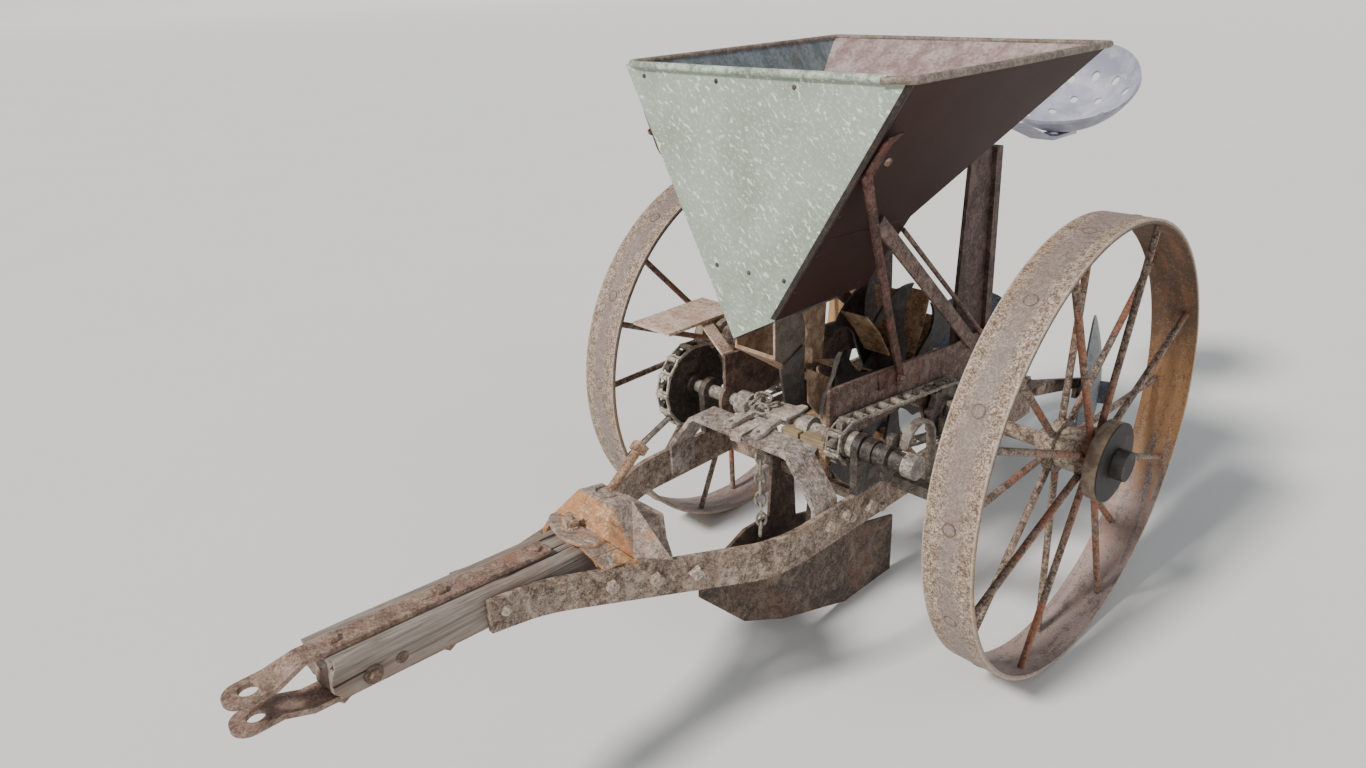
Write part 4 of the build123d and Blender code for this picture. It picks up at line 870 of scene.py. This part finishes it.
def make_gusset():
    """Hipped pressing over the gusset: a raised flat top, a riser in front whose orange-tan is painted sunlight, and
    two broad slopes.
    """
    foot = [(0.068, -0.866, 0.4975), (0.097, -0.833, 0.4605), (0.137, -0.785, 0.4530)]
    top_front, top_rear = (0.043, -0.829, 0.5355), (0.038, -0.784, 0.5300)
    skin = bmesh.new()
    front_mid = skin.verts.new(at(0.0, -0.864, 0.4985))
    top_mid_front = skin.verts.new(at(0.0, -0.829, 0.5365))
    top_mid_rear = skin.verts.new(at(0.0, -0.786, 0.5305))
    for side in (1, -1):
        feet = [skin.verts.new(at(side * x, y, z)) for x, y, z in foot]
        high_front = skin.verts.new(at(side * top_front[0], *top_front[1:]))
        high_rear = skin.verts.new(at(side * top_rear[0], *top_rear[1:]))
        skin.faces.new((front_mid, feet[0], high_front, top_mid_front))
        skin.faces.new((top_mid_front, high_front, high_rear, top_mid_rear))
        skin.faces.new((feet[0], feet[1], high_front))
        skin.faces.new((feet[1], feet[2], high_rear, high_front))
    bmesh.ops.remove_doubles(skin, verts=skin.verts, dist=0.0001)
    bmesh.ops.recalc_face_normals(skin, faces=skin.faces)
    if sum((f.normal.z for f in skin.faces)) < 0:
        bmesh.ops.reverse_faces(skin, faces=skin.faces)
    bmesh.ops.bevel(
        skin, geom=[e for e in skin.edges if e.is_manifold and e.calc_face_angle() > 0.2], offset=0.0055,
        segments=3, profile=0.5, affect="EDGES", material=-1)
    made = piece(skin, "gusset_pressing", "orange_rust_plate")
    wall = made.modifiers.new("sheet", "SOLIDIFY")
    wall.thickness = 0.004
    wall.offset = -1

    lip = bmesh.new()
    outline = ((-0.060, -0.868), (-0.058, -0.884), (-0.044, -0.899), (-0.024, -0.9085), (0.004, -0.9175),
               (0.033, -0.9195), (0.054, -0.914), (0.068, -0.902), (0.071, -0.868))

    def crown(x, y, lift=0.0):
        return at(x, y, 0.5010 + lift - (y + 0.892) * 0.146)

    add_plate(lip, [crown(x, y, 0.0045) for x, y in outline], (0, 0, -0.0075), 0.0022)
    drop = [crown(0.062, -0.913), crown(0.0745, -0.901, -0.019), crown(0.0905, -0.8875, -0.041),
            at(0.100, -0.834, 0.4605), at(0.0815, -0.8515, 0.4815), crown(0.069, -0.866)]
    add_plate(lip, [drop[0], drop[1], drop[4], drop[5]], (-0.005, 0, -0.0035), 0.0015)
    add_plate(lip, [drop[1], drop[2], drop[3], drop[4]], (-0.0045, 0, -0.004), 0.0015)
    add_rivet(lip, crown(0.057, -0.888, 0.001), (0.2, 0.1, 1), 0.030, 0.0065)
    piece(lip, "gusset_lip", "orange_rust_plate")

    collar = [at(-0.024, -0.793, 0.5325), at(-0.024, -0.812, 0.5355), at(-0.012, -0.8225, 0.5375),
              at(0.006, -0.8225, 0.5375), at(0.017, -0.812, 0.5355), at(0.017, -0.798, 0.5330)]
    wires("gusset_collar", [collar], 0.0032, "arch_steel")

    bolt = bmesh.new()
    up = Vector((0, 0.14, 1))
    seat = crown(0.000, -0.8865, 0.0045)
    add_bolt(bolt, seat, up, 0.021, 0.012, 4, 0.034, 0.6)
    add_tube(bolt, seat + up * 0.012, seat + up * 0.024, 0.0062, 0.0005, 14)
    piece(bolt, "gusset_bolt", "gusset_bolt_iron")


def make_lift_lever():
    """Lever rod out of the pressing, with its square head and the thin pull rod beyond."""
    foot, head, tip = at(-0.004, -0.806, 0.520), at(-0.012, -0.716, 0.580), at(-0.040, -0.616, 0.592)
    rod = wires("lift_rod", [[foot, (foot + head) / 2, head]], 0.0085, "lever_rust")
    pull = wires("lift_pull_rod", [[head - Vector((0, 0.01, 0.006)), head + Vector((-0.004, 0.03, 0.012)), tip]],
                 0.0045, "dull_iron")
    nut = bmesh.new()
    run = (head - foot).normalized()
    add_bolt(nut, head - run * 0.008, run, 0.0225, 0.018, 4, 0.0, 0.5)
    block = piece(nut, "lift_rod_head", "lever_rust")
    for made in (rod, pull, block):
        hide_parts("lift_lever")


# Ladder chains on their sprockets, and the lift chain

def drive_loop(front_teeth, rear_teeth, links):
    """Stations and heights of a chain's pins, from the place where it first meets the front sprocket."""
    pitch = 0.0413
    front, rear = (shaft_y - axle_y, shaft_z), (0.0, axle_z)
    front_radius, rear_radius = (pitch / (2 * sin(pi / teeth)) for teeth in (front_teeth, rear_teeth))
    apart = hypot(rear[0] - front[0], rear[1] - front[1])
    lean = atan2(rear[1] - front[1], rear[0] - front[0])
    wrap = acos((front_radius - rear_radius) / apart)
    run = apart * sin(wrap)
    front_arc, rear_arc = front_radius * (2 * pi - 2 * wrap), rear_radius * 2 * wrap
    step = (front_arc + rear_arc + 2 * run) / links

    def on(circle, radius, angle):
        return circle[0] + radius * cos(angle), circle[1] + radius * sin(angle)

    def between(start, end, share):
        return start[0] + (end[0] - start[0]) * share, start[1] + (end[1] - start[1]) * share

    pins = []
    for i in range(links):
        gone = i * step
        if gone < front_arc:
            pins.append(on(front, front_radius, lean + wrap + gone / front_radius))
        elif gone < front_arc + run:
            share = (gone - front_arc) / run
            low = on(front, front_radius, lean - wrap), on(rear, rear_radius, lean - wrap)
            pins.append(between(*low, share))
        elif gone < front_arc + run + rear_arc:
            pins.append(on(rear, rear_radius, lean - wrap + (gone - front_arc - run) / rear_radius))
        else:
            share = (gone - front_arc - run - rear_arc) / run
            high = on(rear, rear_radius, lean + wrap), on(front, front_radius, lean + wrap)
            pins.append(between(*high, share))
    return pins


def add_link(mesh, place, length):
    """Malleable link: two cheeks, a round end bar and a hooked end that takes the next link's bar."""
    start = len(mesh.verts)
    for side in (1, -1):
        add_bar(mesh, Vector((side * 0.0145, 0, -0.004)), Vector((side * 0.0145, 0, length - 0.005)), 0.0045, 0.0065,
                (1, 0, 0), 0.001, 1)
    bmesh.ops.create_cone(
        mesh, cap_ends=True, segments=10, radius1=0.0040, radius2=0.0040, depth=0.034,
        matrix=Matrix.Rotation(pi / 2, 4, "Y"))
    add_bar(mesh, Vector((-0.0165, 0, length - 0.0082)), Vector((0.0165, 0, length - 0.0082)), 0.0045, 0.0065,
            (0, 0, 1), 0.001, 1)
    hook = [mesh.verts.new((x, y, length)) for x, y in ((-0.0105, 0.0043), (0.0105, 0.0043), (0.0105, 0.0068), (-0.0105, 0.0068))]
    profile = mesh.faces.new(hook)
    bmesh.ops.spin(
        mesh, geom=[profile, *profile.edges, *hook], cent=(0, 0, length), axis=(1, 0, 0), angle=radians(250), steps=8,
        dvec=(0, 0, 0), use_merge=False, use_duplicate=False)
    mesh.verts.ensure_lookup_table()
    bmesh.ops.transform(mesh, matrix=place, verts=mesh.verts[start:])


def make_ladder_chain(name, x_mid, front_teeth, rear_teeth, links):
    pins = [at(x_mid, *pin) for pin in drive_loop(front_teeth, rear_teeth, links)]
    chain = bmesh.new()
    for pin, following in zip(pins, pins[1:] + pins[:1]):
        run = following - pin
        along = run.normalized()
        across = Vector((1, 0, 0))
        turn = Matrix((across, along.cross(across), along)).transposed().to_4x4()
        add_link(chain, Matrix.Translation(pin) @ turn, run.length)
    bmesh.ops.recalc_face_normals(chain, faces=chain.faces)
    made = piece(chain, name + "_links", "chain_iron" if x_mid > 0 else "pale_chain_iron")
    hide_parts(name + "_chain")


def ring_points(place, across, along, width, length):
    """Control points of an oval link of wire, seen from its middle."""
    side, run = width / 2, length / 2
    shape = ((1, 0.42), (1, -0.42), (0.45, -1), (-0.45, -1), (-1, -0.42), (-1, 0.42), (-0.45, 1), (0.45, 1))
    return [place + across * (side * u) + along * (run * v) for u, v in shape]


def chain_rings(places, width, length):
    """Links of a slack chain through the given middles, each turned a quarter from the last."""
    rings = []
    for i, place in enumerate(places):
        along = (places[min(i + 1, len(places) - 1)] - places[max(i - 1, 0)]).normalized()
        level = along.cross(Vector((0, 0, 1)) if abs(along.z) < 0.8 else Vector((0, 1, 0))).normalized()
        upright = level.cross(along)
        across = (level + upright * (1 if i % 2 else -1)).normalized()
        rings.append(ring_points(place, across, along, width, length))
    return rings


def make_lift_chain():
    """Slack chain looped over the arch and the countershaft, with a run that hangs in front of the opener."""
    width, length, wire = 0.0185, 0.0310, 0.0029
    step = length - 2.5 * wire
    hanging = [at(0.033 + 0.002 * sin(i * 1.3), -0.4495 + 0.002 * cos(i * 1.7), 0.4965 - i * step) for i in range(9)]
    made = wires("lift_chain_links", chain_rings(hanging, width, length), wire, "chain_iron", closed=True)
    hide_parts("lift_chain")
    over = [at(-0.0400, -0.4010, 0.5360), at(-0.0440, -0.3800, 0.5440), at(-0.0380, -0.3590, 0.5460),
            at(-0.0280, -0.3690, 0.5410), at(-0.0200, -0.3870, 0.5370), at(-0.0110, -0.3650, 0.5390)]
    wires("arch_chain_links", chain_rings(over, 0.0205, 0.0330), 0.0033, "chain_iron", closed=True)


def add_slotted_bar(mesh, tip, end, low, thickness):
    """Flat lever with a rounded nose and an oblong slot, from X and station of its tip to those of its end."""
    tip, end = Vector(tip), Vector(end)
    run = (end - tip).normalized()
    across = Vector((run.y, -run.x))
    length = (end - tip).length
    outline = ((-0.0105, 0.0050), (-0.0065, 0.0), (0.0065, 0.0), (0.0105, 0.0050), (0.0125, 0.0200), (0.0108, 0.0400),
               (0.0105, length), (-0.0105, length), (-0.0108, 0.0400), (-0.0125, 0.0200))
    slot = ((-0.0032, 0.0110), (0.0042, 0.0120), (0.0036, 0.0275), (-0.0040, 0.0265))
    edges = []
    for ring in (outline, slot):
        verts = []
        for u, v in ring:
            place = tip + across * u + run * v
            verts.append(mesh.verts.new(at(place.x, place.y, low)))
        edges += [mesh.edges.new(pair) for pair in zip(verts, verts[1:] + verts[:1])]
    filled = bmesh.ops.triangle_fill(mesh, use_beauty=True, use_dissolve=False, edges=edges)["geom"]
    faces = [part for part in filled if isinstance(part, bmesh.types.BMFace)]
    base = list({v for face in faces for v in face.verts})
    grown = bmesh.ops.extrude_face_region(mesh, geom=faces)["geom"]
    raised = [part for part in grown if isinstance(part, bmesh.types.BMVert)]
    bmesh.ops.translate(mesh, verts=raised, vec=(0, 0, thickness))
    bmesh.ops.recalc_face_normals(mesh, faces=list({f for v in base + raised for f in v.link_faces}))
    ease(mesh, base + raised, 0.0014)


def make_arch_levers():
    """Two slotted levers lying on the arch, and the plate behind them over the countershaft."""
    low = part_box("arch_levers")[0].z
    # Levers and plate wear a paler tone than their steel, painted light on their tops and edges
    levers = bmesh.new()
    add_slotted_bar(levers, (-0.0345, -0.4740), (-0.0385, -0.3920), low, 0.0100)
    add_slotted_bar(levers, (0.0395, -0.4740), (0.0215, -0.3850), low, 0.0105)
    corners = ((0.013, -0.392), (-0.016, -0.382), (-0.012, -0.320), (0.040, -0.312), (0.047, -0.345), (0.043, -0.384))
    add_plate(levers, [at(x, y, 0.5353) for x, y in corners], (0, 0, -0.008), 0.0016)
    made = piece(levers, "slotted_levers", "lever_steel_with_painted_light")
    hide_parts("arch_levers")


def make_arch_fittings():
    """Clip bent over the arch's front edge, the pale bearing block before the shaft and the post under it."""
    # The clip wears the same paler tone, painted light on it
    clip = bmesh.new()
    points = [at(0.002, -0.4850, 0.5105), at(0.002, -0.4865, 0.5200), at(0.001, -0.4800, 0.5245), at(0.000, -0.4500, 0.5240)]
    points += [at(-0.001, -0.4200, 0.5240), at(-0.002, -0.3980, 0.5230)]
    add_strip(clip, points, (0.026, 0.004, 0), (0, 0.0012, 0.0046), 0.0012)
    piece(clip, "arch_clip", "lever_steel_with_painted_light")

    block = bmesh.new()
    for start, stop in ((0.036, 0.078), (0.084, 0.141)):
        add_bar(block, at(start, -0.378, 0.5085), at(stop, -0.378, 0.5085), 0.0155, 0.027, (0, 0, 1), 0.0016)
    piece(block, "shaft_block", "block_timber")

    # The finger wears a paler tone than its steel, painted light from the sky
    finger = bmesh.new()
    bent = ((-0.240, 0.634), (-0.249, 0.624), (-0.258, 0.604), (-0.264, 0.586), (-0.286, 0.561), (-0.296, 0.536),
            (-0.298, 0.508))
    add_strip(finger, [at(0.0605, y, z) for y, z in bent], (0.0085, 0, 0), (0, 0.0032, 0.0014), 0.0008)
    piece(finger, "chamber_finger", "finger_steel_with_painted_light")

    post = bmesh.new()
    add_bar(post, at(0.1335, -0.380, 0.502), at(0.1365, -0.382, 0.440), 0.016, 0.013, (1, 0, 0), 0.0015)
    piece(post, "block_post", "lever_rust")


make_hopper_rim()
make_hopper_trim()
make_tread_rivets(1, "wheel_left")
make_tread_rivets(-1, "wheel_right")
make_timber()
make_upper_strap()
make_tongue_bolts()
make_rail_bolts()
make_gusset()
make_lift_lever()
make_ladder_chain("picker_drive", 0.159, 6, 9, 25)
make_ladder_chain("axle_drive", -0.252, 14, 8, 28)
make_lift_chain()
make_hopper_straps()
make_arch_levers()
make_arch_fittings()


# Stage, light and camera

def make_stage():
    """Pale floor that curves up into a wall far behind, whichever way the camera looks."""
    reach, wall, sweep = 60, 14, 9
    floor = bmesh.new()
    bmesh.ops.create_circle(floor, cap_ends=True, segments=96, radius=reach)
    rim = [edge for edge in floor.edges if edge.is_boundary]
    raised = bmesh.ops.extrude_edge_only(floor, edges=rim)["geom"]
    bmesh.ops.translate(floor, verts=[v for v in raised if isinstance(v, bmesh.types.BMVert)], vec=(0, 0, wall))
    bmesh.ops.bevel(floor, geom=rim, offset=sweep, segments=10, profile=0.5, affect="EDGES", material=-1)
    for face in floor.faces:
        face.smooth = True
    bmesh.ops.recalc_face_normals(floor, faces=floor.faces)
    data = bpy.data.meshes.new("studio_floor")
    floor.to_mesh(data)
    floor.free()
    ground = Finish("studio_floor_paint")
    grey = ground.noise(1.5, 2, 0.5)
    data.materials.append(ground.coat(ground.blend(grey, (0.80, 0.79, 0.77, 1), (0.83, 0.82, 0.80, 1)), 0.9))
    made = bpy.data.objects.new("studio_floor", data)
    bpy.context.scene.collection.objects.link(made)


def add_sun(name, place, target, spread, strength, tint):
    """Broad even light from far off, soft by its spread in degrees."""
    data = bpy.data.lights.new(name, "SUN")
    data.angle = radians(spread)
    data.energy = strength
    data.color = tint
    lamp = bpy.data.objects.new(name, data)
    lamp.location = place
    lamp.rotation_euler = (Vector(target) - Vector(place)).to_track_quat("-Z", "Y").to_euler()
    bpy.context.scene.collection.objects.link(lamp)


def make_light():
    world = bpy.data.worlds.new("studio_sky")
    world.use_nodes = True
    sky = world.node_tree.nodes["Background"]
    sky.inputs["Color"].default_value = (0.88, 0.94, 1.0, 1)
    sky.inputs["Strength"].default_value = 0.36
    bpy.context.scene.world = world
    aim = (0, axle_y - 0.2, 0.5)
    add_sun("key_window", (-0.6, axle_y - 4.2, 4.6), aim, 9, 3.9, (1.0, 0.97, 0.92))
    add_sun("side_window", (4.4, axle_y - 0.6, 3.2), aim, 40, 0.45, (0.92, 0.96, 1.0))


def make_camera():
    """Camera at the photographer's place, found from the wheels, the hopper and the shed's ribs."""
    yaw, pitch, roll = 0.822, -0.4158, -0.0435
    image_width, focal_pixels = 1366, 942.94
    data = bpy.data.cameras.new("photo_view")
    data.sensor_width = 36.0
    data.lens = data.sensor_width * focal_pixels / image_width
    camera = bpy.data.objects.new("photo_view", data)
    ahead = Vector((-sin(yaw) * cos(pitch), cos(yaw) * cos(pitch), sin(pitch)))
    level = Vector((cos(yaw), sin(yaw), 0))
    upright = level.cross(ahead)
    right = level * cos(roll) + upright * sin(roll)
    up = upright * cos(roll) - level * sin(roll)
    camera.matrix_world = Matrix.Translation((1.1191, axle_y - 1.6550, 1.3474)) @ Matrix(
        (right, up, -ahead)).transposed().to_4x4()
    bpy.context.scene.collection.objects.link(camera)
    bpy.context.scene.camera = camera


make_stage()
make_light()
make_camera()
